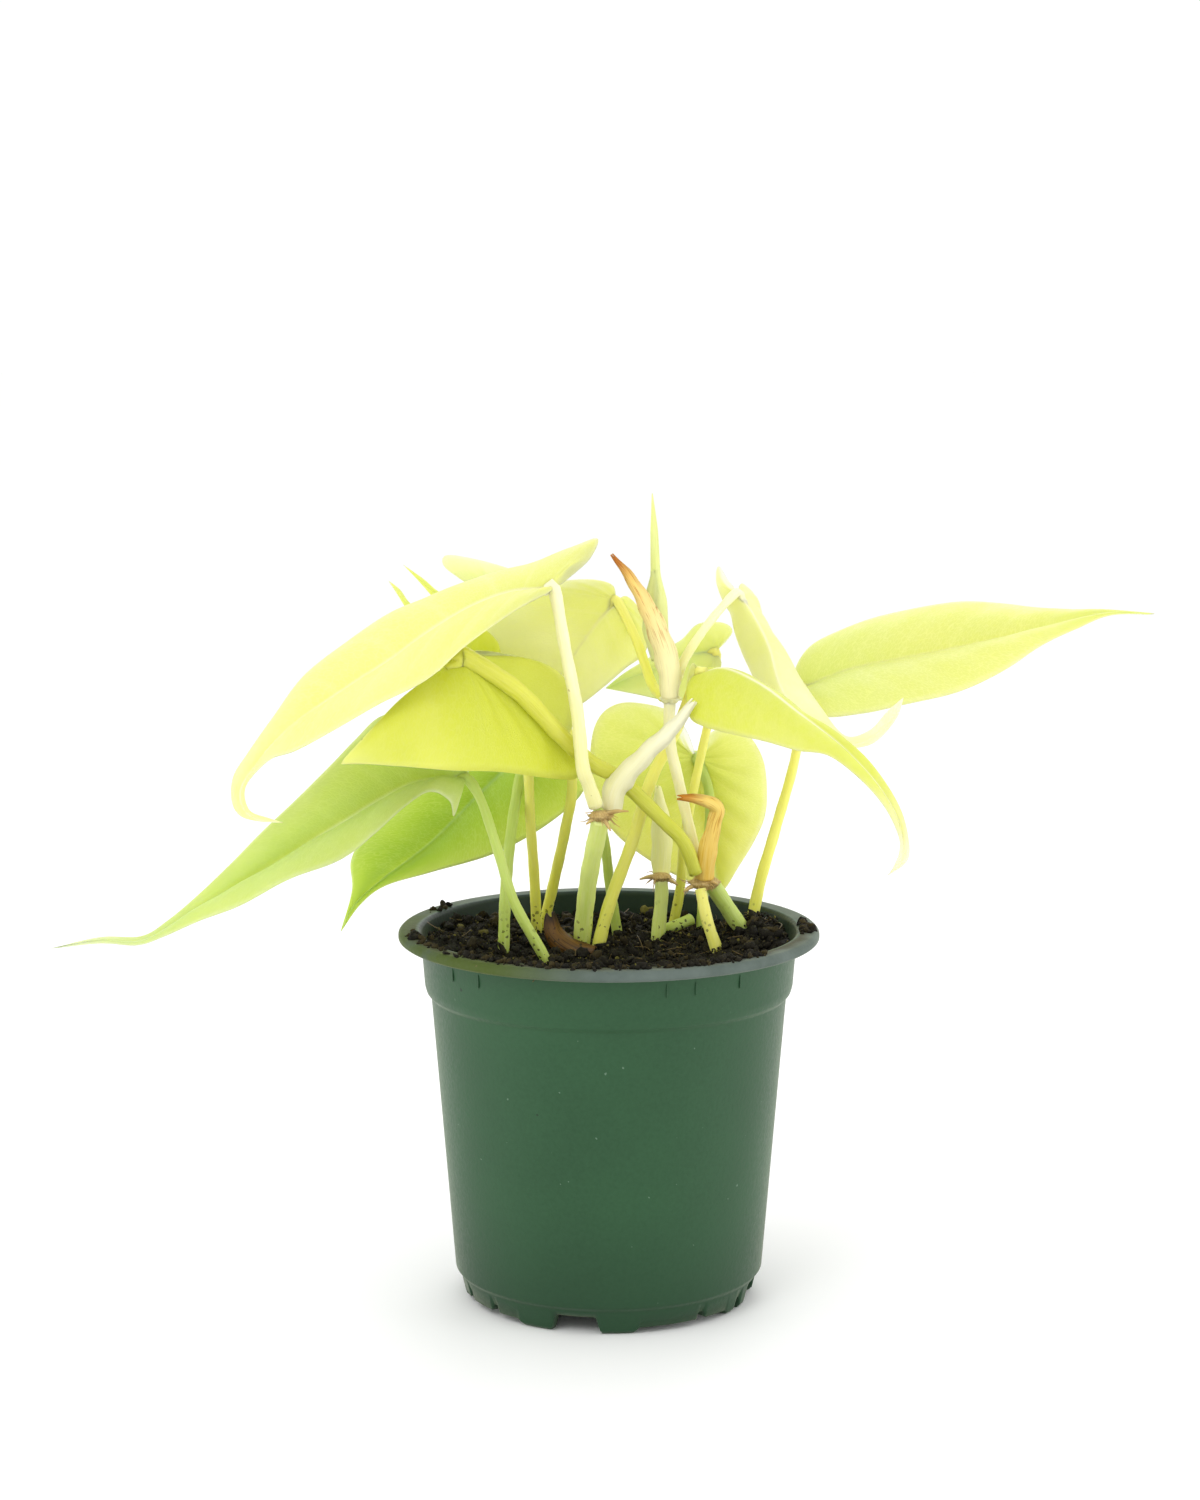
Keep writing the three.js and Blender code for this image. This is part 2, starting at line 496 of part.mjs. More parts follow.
// One row of the blade: where it leaves the midrib, the two margin places it runs to, and the
// directions out of the upper face of each half. The last row is the tip itself.
function bladeRow(blade, share) {
  const steady = THREE.MathUtils.clamp(share, STEADY, 1 - STEADY);
  const start = share === 1 ? 1 : 0.5 * (veinStart(blade, 0, share) + veinStart(blade, 1, share));
  const along = blade.curve.getTangentAt(start);
  const base = blade.curve.getPointAt(Math.min(start, 1 - STEADY));
  const normals = [0, 1].map((half) => {
    const sideways = blade.margins[half].getPointAt(steady).sub(base);
    return sideways.cross(along).multiplyScalar(half === 0 ? -1 : 1).normalize();
  });
  return {
    start,
    normals,
    middle: blade.curve.getPointAt(start),
    up: normals[0].clone().add(normals[1]).normalize(),
    margins: [0, 1].map((half) => blade.margins[half].getPointAt(share)),
  };
}

// Points along one side vein, from the midrib out to the margin and past it by grow.
function veinPoints(blade, row, half, raise, grow) {
  const outward = row.margins[half].clone().sub(row.middle);
  const reach = outward.length();
  const points = [];
  for (let cell = 0; cell <= BLADE_CELLS; cell += 1) {
    const share = cell / BLADE_CELLS;
    const bulge = 4 * share * (1 - share) * Math.min(blade.arch[half], MOST_BULGE * reach);
    const point = row.middle.clone()
      .addScaledVector(outward, reach > 0 ? share * (1 + grow / reach) : 0)
      .addScaledVector(row.normals[half], bulge)
      .addScaledVector(cell === 0 ? row.up : row.normals[half], raise);
    points.push(point);
  }
  return points;
}

// The blade as a thin closed body. grow widens it past its margins and its seat, to cut others by.
function bladeGeometry(blade, thickness, grow) {
  const last = Math.round(blade.margins[1].getLength() / ROW_PITCH) + LEAST_ROWS;
  const shares = Array.from({ length: last }, (_, row) => (
    THREE.MathUtils.lerp(FIRST_ROW, LAST_FULL_ROW, row / (last - 1))
  ));
  const extra = grow > 0 ? [FIRST_ROW / 3] : [];
  const rows = [...extra, ...shares, 1].map((share) => bladeRow(blade, share));
  const seated = rows.filter((row) => row.start === 0);
  seated.forEach((row) => row.up.copy(seated[seated.length - 1].up));
  const loops = rows.map((row) => [1, -1].flatMap((face) => {
    const first = veinPoints(blade, row, 0, (face * thickness) / 2, grow).reverse();
    const second = veinPoints(blade, row, 1, (face * thickness) / 2, grow).slice(1);
    return face === 1 ? [...first, ...second] : [...first, ...second].reverse();
  }));
  return bodyFromRows(loops, true);
}

// A blade with its midrib and margins as smooth curves.
function prepareBlade(blade) {
  const curve = smoothPath(blade.spine);
  const ends = [blade.spine[0], blade.spine[blade.spine.length - 1]];
  const margins = [blade.first, blade.second]
    .map((points) => smoothPath([ends[0], ...points, ends[1]]));
  return { ...blade, curve, margins, length: curve.getLength() };
}

// A round stem along a path, its radius changing evenly from foot to top.
function stemGeometry(path, radii, grow) {
  const curve = smoothPath(path);
  const steps = Math.max(3, Math.round(curve.getLength() / STEM_PITCH));
  const frames = curve.computeFrenetFrames(steps, false);
  const rows = [];
  for (let step = 0; step <= steps; step += 1) {
    const centre = curve.getPointAt(step / steps);
    const radius = valueAlong(radii, step / steps) + grow;
    const ring = [];
    for (let side = 0; side < STEM_SIDES; side += 1) {
      const turn = (side / STEM_SIDES) * 2 * Math.PI;
      ring.push(centre.clone()
        .addScaledVector(frames.normals[step], radius * Math.cos(turn))
        .addScaledVector(frames.binormals[step], radius * Math.sin(turn)));
    }
    rows.push(ring);
  }
  return bodyFromRows(rows, false);
}

// The stem's path with its ends made up: a petiole stops just short of its blade's seat, and a stem
// that stands in the soil is carried on below its foot.
function fullPath(stem) {
  const path = [...stem.path];
  if (stem.blade) {
    const seat = vector(path.pop());
    const along = seat.clone().sub(vector(path[path.length - 1])).normalize();
    path.push(seat.addScaledVector(along, -SEAT_SHORTFALL).toArray());
  }
  if (stem.soil) {
    const foot = vector(path[0]);
    const downward = foot.clone().sub(vector(path[1])).normalize();
    downward.set(ROOT_LEAN * downward.x, ROOT_LEAN * downward.y, -1);
    path.unshift(foot.addScaledVector(downward, ROOT_DEPTH).toArray());
  }
  return path;
}

// A flat tapering wrap: oval rings along a path, their flat turned to one side.
function wrapGeometry(wrap) {
  const curve = smoothPath(wrap.path);
  const steps = wrap.path.length * 2;
  const face = vector(wrap.face);
  const rows = [];
  for (let step = 0; step <= steps; step += 1) {
    const share = step / steps;
    const centre = curve.getPoint(share);
    const along = curve.getTangent(share);
    const flat = new THREE.Vector3().crossVectors(along, face).normalize();
    const outward = new THREE.Vector3().crossVectors(flat, along);
    const halfWidth = valueAlong(wrap.halfWidths, share);
    const halfThickness = Math.min(halfWidth, wrap.thickness / 2 + 0.15 * halfWidth);
    const ring = [];
    for (let side = 0; side < SHEATH_SIDES; side += 1) {
      const turn = (side / SHEATH_SIDES) * 2 * Math.PI;
      ring.push(centre.clone()
        .addScaledVector(flat, halfWidth * Math.cos(turn))
        .addScaledVector(outward, halfThickness * Math.sin(turn)));
    }
    rows.push(ring);
  }
  return bodyFromRows(rows, false);
}

// A joint of the vine: a low ring with thin bent root stubs grown out of it.
function nodeGeometry(node, grow) {
  const centre = vector(node.centre);
  const ring = new THREE.SphereGeometry(1, 10, 6);
  ring.scale(...node.size.map((half) => half + grow));
  ring.translate(...node.centre);
  const stubs = node.roots.map(([direction, length]) => {
    const heading = vector(direction).normalize();
    const bend = centre.clone().addScaledVector(heading, 0.6 * length);
    const tip = centre.clone().addScaledVector(heading, length);
    tip.z -= 0.12 * length;
    return stemGeometry([node.centre, bend.toArray(), tip.toArray()], [0.8, 0.35], grow);
  });
  const joined = stubs.reduce((solid, stub) => solid.add(toSolid(stub)), toSolid(ring));
  return fromSolid(joined);
}

// The pot: a turned shell on raised feet, with arches, notches and holes for the water.
function potGeometry() {
  const wallAt = (height) => THREE.MathUtils.mapLinear(
    height,
    BODY_BOTTOM,
    BODY_TOP,
    BODY_BOTTOM_RADIUS,
    BODY_TOP_RADIUS,
  );
  const rimLow = POT_HEIGHT - RIM_THICKNESS;
  const profile = [
    [0, FLOOR_UNDERSIDE],
    [FOOT_RADIUS - FOOT_WIDTH, FLOOR_UNDERSIDE],
    [FOOT_RADIUS - FOOT_WIDTH, 0],
    [FOOT_RADIUS, 0],
    [FOOT_RADIUS + 1, 1],
    [BODY_BOTTOM_RADIUS - 1.2, BODY_BOTTOM - 1.2],
    [BODY_BOTTOM_RADIUS, BODY_BOTTOM],
    [BODY_TOP_RADIUS, BODY_TOP],
    [COLLAR_BOTTOM_RADIUS - 0.5, BODY_TOP + 1.2],
    [COLLAR_BOTTOM_RADIUS, COLLAR_BOTTOM],
    [COLLAR_TOP_RADIUS, rimLow + 0.6],
    [RIM_RADIUS - 1, rimLow],
    [RIM_RADIUS, rimLow + 0.7],
    [RIM_RADIUS, POT_HEIGHT - 0.9],
    [RIM_RADIUS - 0.9, POT_HEIGHT],
    [RIM_INNER_RADIUS, POT_HEIGHT],
    [RIM_INNER_RADIUS - 0.9, POT_HEIGHT - 0.8],
    [COLLAR_BOTTOM_RADIUS - WALL, COLLAR_BOTTOM + 0.4],
    [wallAt(BODY_TOP) - WALL, BODY_TOP - 0.6],
    [wallAt(BODY_BOTTOM) - WALL, BODY_BOTTOM],
    [wallAt(BODY_BOTTOM) - WALL - 0.8, FLOOR_TOP],
    [0, FLOOR_TOP],
  ];
  const turned = new THREE.LatheGeometry(profile.map((point) => new THREE.Vector2(...point)), POT_SEGMENTS);
  turned.rotateX(Math.PI / 2);
  const tools = [];
  const ringCutter = (angle, width, height) => {
    const box = new THREE.BoxGeometry(12, width, 2 * height);
    box.translate(FOOT_RADIUS, 0, 0);
    box.rotateZ(radians(angle));
    return box;
  };
  for (let quarter = 0; quarter < 4; quarter += 1) {
    const arch = FIRST_ARCH + 90 * quarter;
    tools.push(ringCutter(arch, ARCH_WIDTH, ARCH_HEIGHT));
    const raised = 90 - 2 * FOOT_ANGLE;
    for (let part = 0; part < 3; part += 1) {
      const angle = arch + FOOT_ANGLE + raised * ((part + 0.5) / 3);
      tools.push(ringCutter(angle, 2 * (FOOT_RADIUS + 2) * Math.sin(radians(raised / 6)) + 0.4, RING_LIFT));
    }
    const hole = new THREE.CylinderGeometry(FLOOR_HOLE_RADIUS, FLOOR_HOLE_RADIUS, 6, 16);
    hole.rotateX(Math.PI / 2);
    hole.translate(FLOOR_HOLE_RING, 0, (FLOOR_UNDERSIDE + FLOOR_TOP) / 2);
    hole.rotateZ(radians(arch + 45));
    tools.push(hole);
  }
  NOTCH_ANGLES.forEach((angle) => tools.push(ringCutter(angle, 3, RING_LIFT + 1.9)));
  return cutAway(facingOut(mergedLathe(turned)), tools);
}

function mergedLathe(lathe) {
  lathe.deleteAttribute('normal');
  lathe.deleteAttribute('uv');
  return mergeVertices(lathe, 1e-4);
}

function soilHeight(x, y) {
  const out = Math.hypot(x, y) / RIM_INNER_RADIUS;
  const lumps = Math.sin(0.19 * x + 1.3) * Math.cos(0.23 * y - 0.4) + 0.5 * Math.sin(0.41 * x - 0.33 * y);
  const front = Math.max(0, -y / RIM_INNER_RADIUS) * out;
  return SOIL_LEVEL + 0.6 * SOIL_HEAP * lumps * (1 - 0.4 * out) + 2.4 * front * out;
}

// The soil: it fills the pot to a little below the rim and is heaped up towards the front.
function soilGeometry(stems) {
  const side = [
    [0, FLOOR_TOP + SOIL_GAP],
    [BODY_BOTTOM_RADIUS - WALL - 1.3, FLOOR_TOP + SOIL_GAP],
    [BODY_BOTTOM_RADIUS - WALL - 0.6, BODY_BOTTOM + 1],
    [BODY_TOP_RADIUS - WALL - 0.6, BODY_TOP - 1],
    [COLLAR_BOTTOM_RADIUS - WALL - 0.5, COLLAR_BOTTOM + 1],
  ];
  const edge = COLLAR_BOTTOM_RADIUS - WALL - 0.3;
  const profile = [...side];
  for (let ring = 0; ring <= SOIL_RINGS; ring += 1) {
    profile.push([edge * (1 - ring / SOIL_RINGS), SOIL_LEVEL]);
  }
  const turned = new THREE.LatheGeometry(profile.map((point) => new THREE.Vector2(...point)), SOIL_SECTORS);
  turned.rotateX(Math.PI / 2);
  const soil = mergedLathe(turned);
  const position = soil.getAttribute('position');
  for (let i = 0; i < position.count; i += 1) {
    if (Math.abs(position.getZ(i) - SOIL_LEVEL) < 0.01) {
      position.setZ(i, soilHeight(position.getX(i), position.getY(i)));
    }
  }
  return cutAway(facingOut(soil), stems);
}

const plant = new THREE.Group();

function addPiece(name, geometry, finish) {
  const flat = geometry.index ? geometry : mergeVertices(geometry);
  const piece = new THREE.Mesh(flat, new THREE.MeshStandardMaterial(FINISHES[finish]));
  piece.name = name;
  plant.add(piece);
}

const blades = new Map(BLADES.map((blade) => [blade.name, prepareBlade(blade)]));
const nodes = new Map(NODES.map((node) => [node.name, node]));

addPiece('nursery_pot', potGeometry(), 'pot');

const sockets = STEMS.filter((stem) => stem.soil)
  .map((stem) => stemGeometry(fullPath(stem), stem.radius, SEAT_GAP));
addPiece('potting_soil', soilGeometry(sockets), 'soil');

blades.forEach((blade) => addPiece(blade.name, bladeGeometry(blade, BLADE_THICKNESS, 0), blade.finish));

STEMS.forEach((stem) => {
  const tools = [stem.node, stem.lowerNode].filter(Boolean)
    .map((name) => nodeGeometry(nodes.get(name), SEAT_GAP));
  if (stem.blade) {
    tools.push(bladeGeometry(blades.get(stem.blade), BLADE_THICKNESS + 2 * SEAT_GAP, SEAT_GAP));
  }
  addPiece(stem.name, cutAway(stemGeometry(fullPath(stem), stem.radius, 0), tools), stem.finish);
});

NODES.forEach((node) => addPiece(node.name, nodeGeometry(node, 0), 'dried'));

SHEATHS.forEach((sheath) => {
  const around = STEMS.filter((stem) => [stem.node, stem.lowerNode].includes(sheath.node))
    .map((stem) => stemGeometry(fullPath(stem), stem.radius, SEAT_GAP));
  const tools = [nodeGeometry(nodes.get(sheath.node), SEAT_GAP), ...around];
  addPiece(sheath.name, cutAway(wrapGeometry(sheath), tools), sheath.finish);
});

const spearTools = [
  nodeGeometry(nodes.get('node_upper'), SEAT_GAP),
  ...STEMS.filter((stem) => stem.node === 'node_upper')
    .map((stem) => stemGeometry(fullPath(stem), stem.radius, SEAT_GAP)),
];
addPiece('leaf_rolled_new', cutAway(stemGeometry(SPEAR_PATH, SPEAR_RADII, 0), spearTools), 'lime');

LITTER.forEach((bit) => addPiece(bit.name, wrapGeometry(bit), bit.finish));

// The whole plant's box stands centred on the origin.
const box = new THREE.Box3().setFromObject(plant);
const middle = box.getCenter(new THREE.Vector3());
plant.position.set(-middle.x, -middle.y, -box.min.z);

export default plant;
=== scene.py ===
# %% [markdown]
# # A young golden heartleaf philodendron in its nursery pot
# The real plant is about 295 mm wide and 219 mm tall. A few cuttings stand in dark potting mix,
# each leaf on a stalk of its own, in a green plastic nursery pot.
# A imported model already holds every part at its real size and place. Here each part gets its
# looks: a finer mesh where the plain one is too coarse, and a material made of shader nodes.
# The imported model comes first, because everything else is placed by it.

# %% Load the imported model
import math

import bmesh
import bpy
import numpy as np
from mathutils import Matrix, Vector, noise


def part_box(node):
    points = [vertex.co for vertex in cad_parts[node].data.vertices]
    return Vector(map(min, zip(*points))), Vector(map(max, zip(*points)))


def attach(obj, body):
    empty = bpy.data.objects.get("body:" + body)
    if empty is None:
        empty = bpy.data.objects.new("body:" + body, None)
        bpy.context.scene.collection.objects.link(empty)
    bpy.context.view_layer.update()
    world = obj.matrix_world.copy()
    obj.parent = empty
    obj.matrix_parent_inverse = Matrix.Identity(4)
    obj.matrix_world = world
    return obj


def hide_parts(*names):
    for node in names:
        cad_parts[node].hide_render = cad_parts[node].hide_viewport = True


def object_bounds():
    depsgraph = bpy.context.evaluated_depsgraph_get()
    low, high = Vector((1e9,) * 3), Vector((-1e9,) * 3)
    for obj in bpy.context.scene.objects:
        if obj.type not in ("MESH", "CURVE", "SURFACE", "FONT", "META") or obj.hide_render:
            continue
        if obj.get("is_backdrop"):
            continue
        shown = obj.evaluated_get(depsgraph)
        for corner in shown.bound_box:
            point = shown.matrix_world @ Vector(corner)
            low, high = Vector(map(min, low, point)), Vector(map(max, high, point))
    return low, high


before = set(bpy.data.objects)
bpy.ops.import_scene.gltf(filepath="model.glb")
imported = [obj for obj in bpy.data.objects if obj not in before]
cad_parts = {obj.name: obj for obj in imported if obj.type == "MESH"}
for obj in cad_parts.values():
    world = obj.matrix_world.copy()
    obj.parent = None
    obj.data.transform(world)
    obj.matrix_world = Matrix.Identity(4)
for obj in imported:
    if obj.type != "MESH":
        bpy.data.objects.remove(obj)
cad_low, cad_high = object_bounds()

print("parts:", len(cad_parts), "box in mm:", [round(1000 * side) for side in cad_high - cad_low])

# %% [markdown]
# ## Units and places
# Plant shapes are easiest to write in millimetres, measured from the pot's axis, as one would with
# a ruler on a bench. Blender works in metres, so points are turned into metres at one place only.
# The pot's axis is read from the pot itself.

# %% Axis and units
MM = 0.001
pot_low, pot_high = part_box("nursery_pot")
AXIS = np.array([(pot_low.x + pot_high.x) / 2, (pot_low.y + pot_high.y) / 2, 0.0])
RIM_RADIUS = (pot_high.x - pot_low.x) / 2 / MM
POT_HEIGHT = pot_high.z / MM
print("rim radius", round(RIM_RADIUS, 1), "mm, pot height", round(POT_HEIGHT, 1), "mm")


def unit(vectors):
    lengths = np.linalg.norm(vectors, axis=-1, keepdims=True)
    return vectors / np.maximum(lengths, 1e-9)


def smooth_step(value, low, high):
    share = np.clip((value - low) / (high - low), 0.0, 1.0)
    return share * share * (3 - 2 * share)


# %% [markdown]
# ## The camera
# The camera's height, distance, tilt and lens come from the ellipses of the pot's rim and foot in
# the picture. A long lens from 84 cm away looks slightly down, which shows the soil as a thin
# ellipse. Lens length over sensor size is all that sets the view's width, so no shift is needed.

# %% Make the camera
CAMERA_PLACE = (AXIS[0] - 2.4 * MM, -838 * MM, 274.6 * MM)
CAMERA_TILT = math.radians(8.456)
CAMERA_LENS, SENSOR_WIDTH = 75.62, 36
camera = bpy.data.objects.new("camera", bpy.data.cameras.new("camera"))
camera.location = CAMERA_PLACE
camera.rotation_euler = (math.pi / 2 - CAMERA_TILT, 0, 0)
camera.data.lens = CAMERA_LENS
camera.data.sensor_width = SENSOR_WIDTH
camera.data.clip_start = 0.01
bpy.context.scene.collection.objects.link(camera)
bpy.context.scene.camera = camera
print("camera", [round(value, 3) for value in camera.location], "lens", CAMERA_LENS)

# %% [markdown]
# ## Soft studio light
# The picture is high-key: a bright white surround, almost no shadow, and leaves that glow because
# light comes through them from behind. A plain white world gives that surround. Four soft area
# lights add a gentle direction: one high in front, one low at each side, one behind the leaves.
# The Standard view transform keeps the colours as they are mixed, with no film curve on top.

# %% Make the lights
WORLD_STRENGTH = 1.04
LIGHTS = {
    "light_front": {"place": (-0.55, -0.95, 1.05), "size": 0.7, "watts": 3.8},
    "light_right": {"place": (0.9, -0.3, 0.17), "size": 0.5, "watts": 2.3},
    "light_left": {"place": (-0.9, -0.3, 0.17), "size": 0.5, "watts": 1.9},
    "light_behind": {"place": (0.15, 0.9, 0.85), "size": 0.8, "watts": 2.6},
}
LIGHT_TARGET = Vector((0, 0, 0.13))
scene = bpy.context.scene
scene.world = bpy.data.worlds.new("studio")
scene.world.use_nodes = True
surround = scene.world.node_tree.nodes["Background"]
surround.inputs["Color"].default_value = (1.0, 1.0, 1.0, 1.0)
surround.inputs["Strength"].default_value = WORLD_STRENGTH
scene.view_settings.view_transform = "Standard"
for name, light in LIGHTS.items():
    lamp = bpy.data.lights.new(name, "AREA")
    lamp.shape = "DISK"
    lamp.size = light["size"]
    lamp.energy = light["watts"]
    holder = bpy.data.objects.new(name, lamp)
    holder.location = light["place"]
    holder.rotation_euler = (LIGHT_TARGET - holder.location).to_track_quat("-Z", "Y").to_euler()
    scene.collection.objects.link(holder)
print("lights:", len(LIGHTS))

# %% [markdown]
# ## Small helpers for shader nodes
# Every material below is a tree of shader nodes. Written out one by one they would hide what the
# material is about, so a few short helpers add a node, feed its sockets and hand back an output.
# A value can be a plain number or the output of another node. Colours are built up in layers, each
# painted over the ones before it where its mask is.

# %% Shader node helpers
def feed(tree, socket, value):
    if isinstance(value, bpy.types.NodeSocket):
        tree.links.new(value, socket)
    else:
        socket.default_value = value


def add(tree, kind, values, **settings):
    node = tree.nodes.new("ShaderNode" + kind)
    for label, setting in settings.items():
        setattr(node, label, setting)
    for label, value in values.items():
        feed(tree, node.inputs[label], value)
    return node


def sums(tree, operation, *values, clamp=False):
    node = tree.nodes.new("ShaderNodeMath")
    node.operation = operation
    node.use_clamp = clamp
    for socket, value in zip(node.inputs, values):
        feed(tree, socket, value)
    return node.outputs[0]


def ranged(tree, value, low, high, to_low=0.0, to_high=1.0):
    values = {"Value": value, "From Min": low, "From Max": high, "To Min": to_low, "To Max": to_high}
    return add(tree, "MapRange", values, interpolation_type="SMOOTHSTEP").outputs["Result"]


def scaled(tree, value, factor):
    return sums(tree, "MULTIPLY", value, factor)


def blended(tree, factor, low, high):
    node = tree.nodes.new("ShaderNodeMix")
    node.data_type = "RGBA"
    for index, value in ((0, factor), (6, low), (7, high)):
        feed(tree, node.inputs[index], value)
    return node.outputs[2]


print("node helpers ready")

# %% Colours, groups and materials
def colour(code):
    """A linear colour from the six hex digits a paint shop would give."""
    parts = [int(code[start:start + 2], 16) / 255 for start in (0, 2, 4)]
    return [part / 12.92 if part <= 0.04045 else ((part + 0.055) / 1.055) ** 2.4 for part in parts] + [1.0]


def painted(tree, mask, share, under, code):
    """The colour under it, covered with a new one where the mask is, as far as the share says."""
    return blended(tree, scaled(tree, mask, share), under, colour(code))


def place_in(tree):
    return add(tree, "NewGeometry", {}).outputs["Position"]


def own_value(tree, label, output="Fac"):
    """A value that the mesh keeps on its points."""
    return add(tree, "Attribute", {}, attribute_name=label).outputs[output]


def new_group(name, inputs, outputs):
    """An empty node group, as its tree, its input values and its output sockets.

    Inputs are numbers with their usual value, or vectors where None stands. Outputs are numbers.
    """
    tree = bpy.data.node_groups.new(name, "ShaderNodeTree")
    for label, value in inputs.items():
        kind = "NodeSocketVector" if value is None else "NodeSocketFloat"
        socket = tree.interface.new_socket(name=label, in_out="INPUT", socket_type=kind)
        if value is not None:
            socket.default_value = value
    for label in outputs:
        tree.interface.new_socket(name=label, in_out="OUTPUT", socket_type="NodeSocketFloat")
    return tree, tree.nodes.new("NodeGroupInput").outputs, tree.nodes.new("NodeGroupOutput").inputs


def use_group(tree, group, values):
    node = tree.nodes.new("ShaderNodeGroup")
    node.node_tree = group
    for label, value in values.items():
        feed(tree, node.inputs[label], value)
    return node.outputs


def new_material(name):
    material = bpy.data.materials.new(name)
    material.use_nodes = True
    tree = material.node_tree
    return material, tree, tree.nodes["Principled BSDF"]


def set_shader(shader, constants):
    for label, value in constants.items():
        shader.inputs[label].default_value = value


def let_light_through(shader, weight, glow, depth):
    """Light enters the surface, spreads up to the depth in metres and leaves it, tinted by the glow."""
    shader.subsurface_method = "RANDOM_WALK"
    constants = {"Subsurface Weight": weight, "Subsurface Radius": glow, "Subsurface Scale": depth}
    set_shader(shader, constants)


def roughened(tree, shader, height, distance, strength):
    """Relief too fine for the mesh, up to the distance in metres."""
    bump = add(tree, "Bump", {"Height": height, "Distance": distance, "Strength": strength})
    feed(tree, shader.inputs["Normal"], bump.outputs["Normal"])


print("material helpers ready")

# %% [markdown]
# ## Effects that several finishes share
# Three effects come back in many materials, so each is a node group with its own sockets:
# - Cloudy shade, a slow change of tone that keeps any living or moulded surface from looking flat.
# - Specks, a few small spots of dirt or damage with irregular edges.
# - Fibre grain, thin streaks that run along a stalk or a sheath.
# They give out masks and values only, and each material decides what colour to make of them.

# %% Cloudy shade
def sharpened(tree, value, contrast):
    """A noise value pulled away from its middle by the contrast, kept between 0 and 1."""
    stretched = scaled(tree, sums(tree, "SUBTRACT", value, 0.5), contrast)
    return sums(tree, "ADD", stretched, 0.5, clamp=True)


cloudy, given, out = new_group(
    "Cloudy shade",
    {"Place": None, "Scale": 30.0, "Contrast": 1.0},
    ["Shade"],
)
clouds = add(cloudy, "TexNoise", {
    "Vector": given["Place"], "Scale": given["Scale"], "Detail": 4.0, "Roughness": 0.55,
})
feed(cloudy, out["Shade"], sharpened(cloudy, clouds.outputs["Fac"], given["Contrast"]))
print("group:", cloudy.name)


def clouded(tree, place, scale, contrast):
    return use_group(tree, cloudy, {"Place": place, "Scale": scale, "Contrast": contrast})["Shade"]


# %% Specks
RAGGED_SCALE, RAGGED_BY = 900.0, (0.0012, 0.0012, 0.0012)
specks, given, out = new_group(
    "Specks",
    {"Place": None, "Scale": 200.0, "Share": 0.1, "Size": 0.2},
    ["Mask"],
)
ragged = add(specks, "TexNoise", {"Vector": given["Place"], "Scale": RAGGED_SCALE, "Detail": 2.0})
shaken = add(specks, "VectorMath", {0: ragged.outputs["Color"], 1: RAGGED_BY}, operation="MULTIPLY")
moved = add(specks, "VectorMath", {0: given["Place"], 1: shaken.outputs["Vector"]}, operation="ADD")
cells = add(specks, "TexVoronoi", {
    "Vector": moved.outputs["Vector"], "Scale": given["Scale"], "Randomness": 1.0,
})
chosen = add(specks, "SeparateColor", {"Color": cells.outputs["Color"]}).outputs
picked = sums(specks, "LESS_THAN", chosen["Red"], given["Share"])
own_size = scaled(specks, given["Size"], sums(specks, "ADD", chosen["Green"], 0.35))
inside = sums(specks, "LESS_THAN", cells.outputs["Distance"], own_size)
feed(specks, out["Mask"], scaled(specks, picked, inside))
print("group:", specks.name)


def speckled(tree, place, scale, share, size):
    return use_group(tree, specks, {"Place": place, "Scale": scale, "Share": share, "Size": size})["Mask"]


# %% Fibre grain
fibres, given, out = new_group(
    "Fibre grain",
    {"Place": None, "Across": 3.0, "Along": 0.12, "Contrast": 1.0},
    ["Streak"],
)
split = add(fibres, "SeparateXYZ", {"Vector": given["Place"]}).outputs
finenesses = {"X": given["Across"], "Y": given["Across"], "Z": given["Along"]}
drawn = add(fibres, "CombineXYZ", {
    axis: scaled(fibres, split[axis], fineness) for axis, fineness in finenesses.items()
})
streaks = add(fibres, "TexNoise", {
    "Vector": drawn.outputs["Vector"], "Scale": 1.0, "Detail": 3.0, "Roughness": 0.6,
})
feed(fibres, out["Streak"], sharpened(fibres, streaks.outputs["Fac"], given["Contrast"]))
print("group:", fibres.name)

# %% [markdown]
# ## Mesh helpers
# Nearly every piece of the plant is a row of rings or strips set along a curve. A smooth curve
# through a few given points keeps the shape easy to change: Blender's own curves could do it
# too, but here the rings need different widths, ribs and folds, so the meshes are made in code.
# Points that fall on each other are merged, which closes the pointed ends.

# %% Curves and meshes
class Path:
    """A smooth curve through given points in millimetres, read by the share of its length."""

    def __init__(self, points, samples=40):
        points = np.asarray(points, float)
        guides = np.vstack([2 * points[0] - points[1], points, 2 * points[-1] - points[-2]])
        step = np.linspace(0, 1, samples, endpoint=False)[:, None]
        stretches = []
        for before, start, end, after in zip(guides, guides[1:], guides[2:], guides[3:]):
            leave, arrive = 0.5 * (end - before), 0.5 * (after - start)
            stretches.append(
                (2 * step**3 - 3 * step**2 + 1) * start + (step**3 - 2 * step**2 + step) * leave
                + (3 * step**2 - 2 * step**3) * end + (step**3 - step**2) * arrive
            )
        self.line = np.vstack([*stretches, points[-1:]])
        runs = np.concatenate([[0.0], np.cumsum(np.linalg.norm(np.diff(self.line, axis=0), axis=1))])
        self.length = runs[-1]
        self.shares = runs / self.length

    def at(self, share):
        return np.stack([np.interp(share, self.shares, self.line[:, k]) for k in range(3)], axis=-1)

    def heading(self, share, reach=0.006):
        ahead = self.at(np.minimum(share + reach, 1.0))
        return unit(ahead - self.at(np.maximum(share - reach, 0.0)))


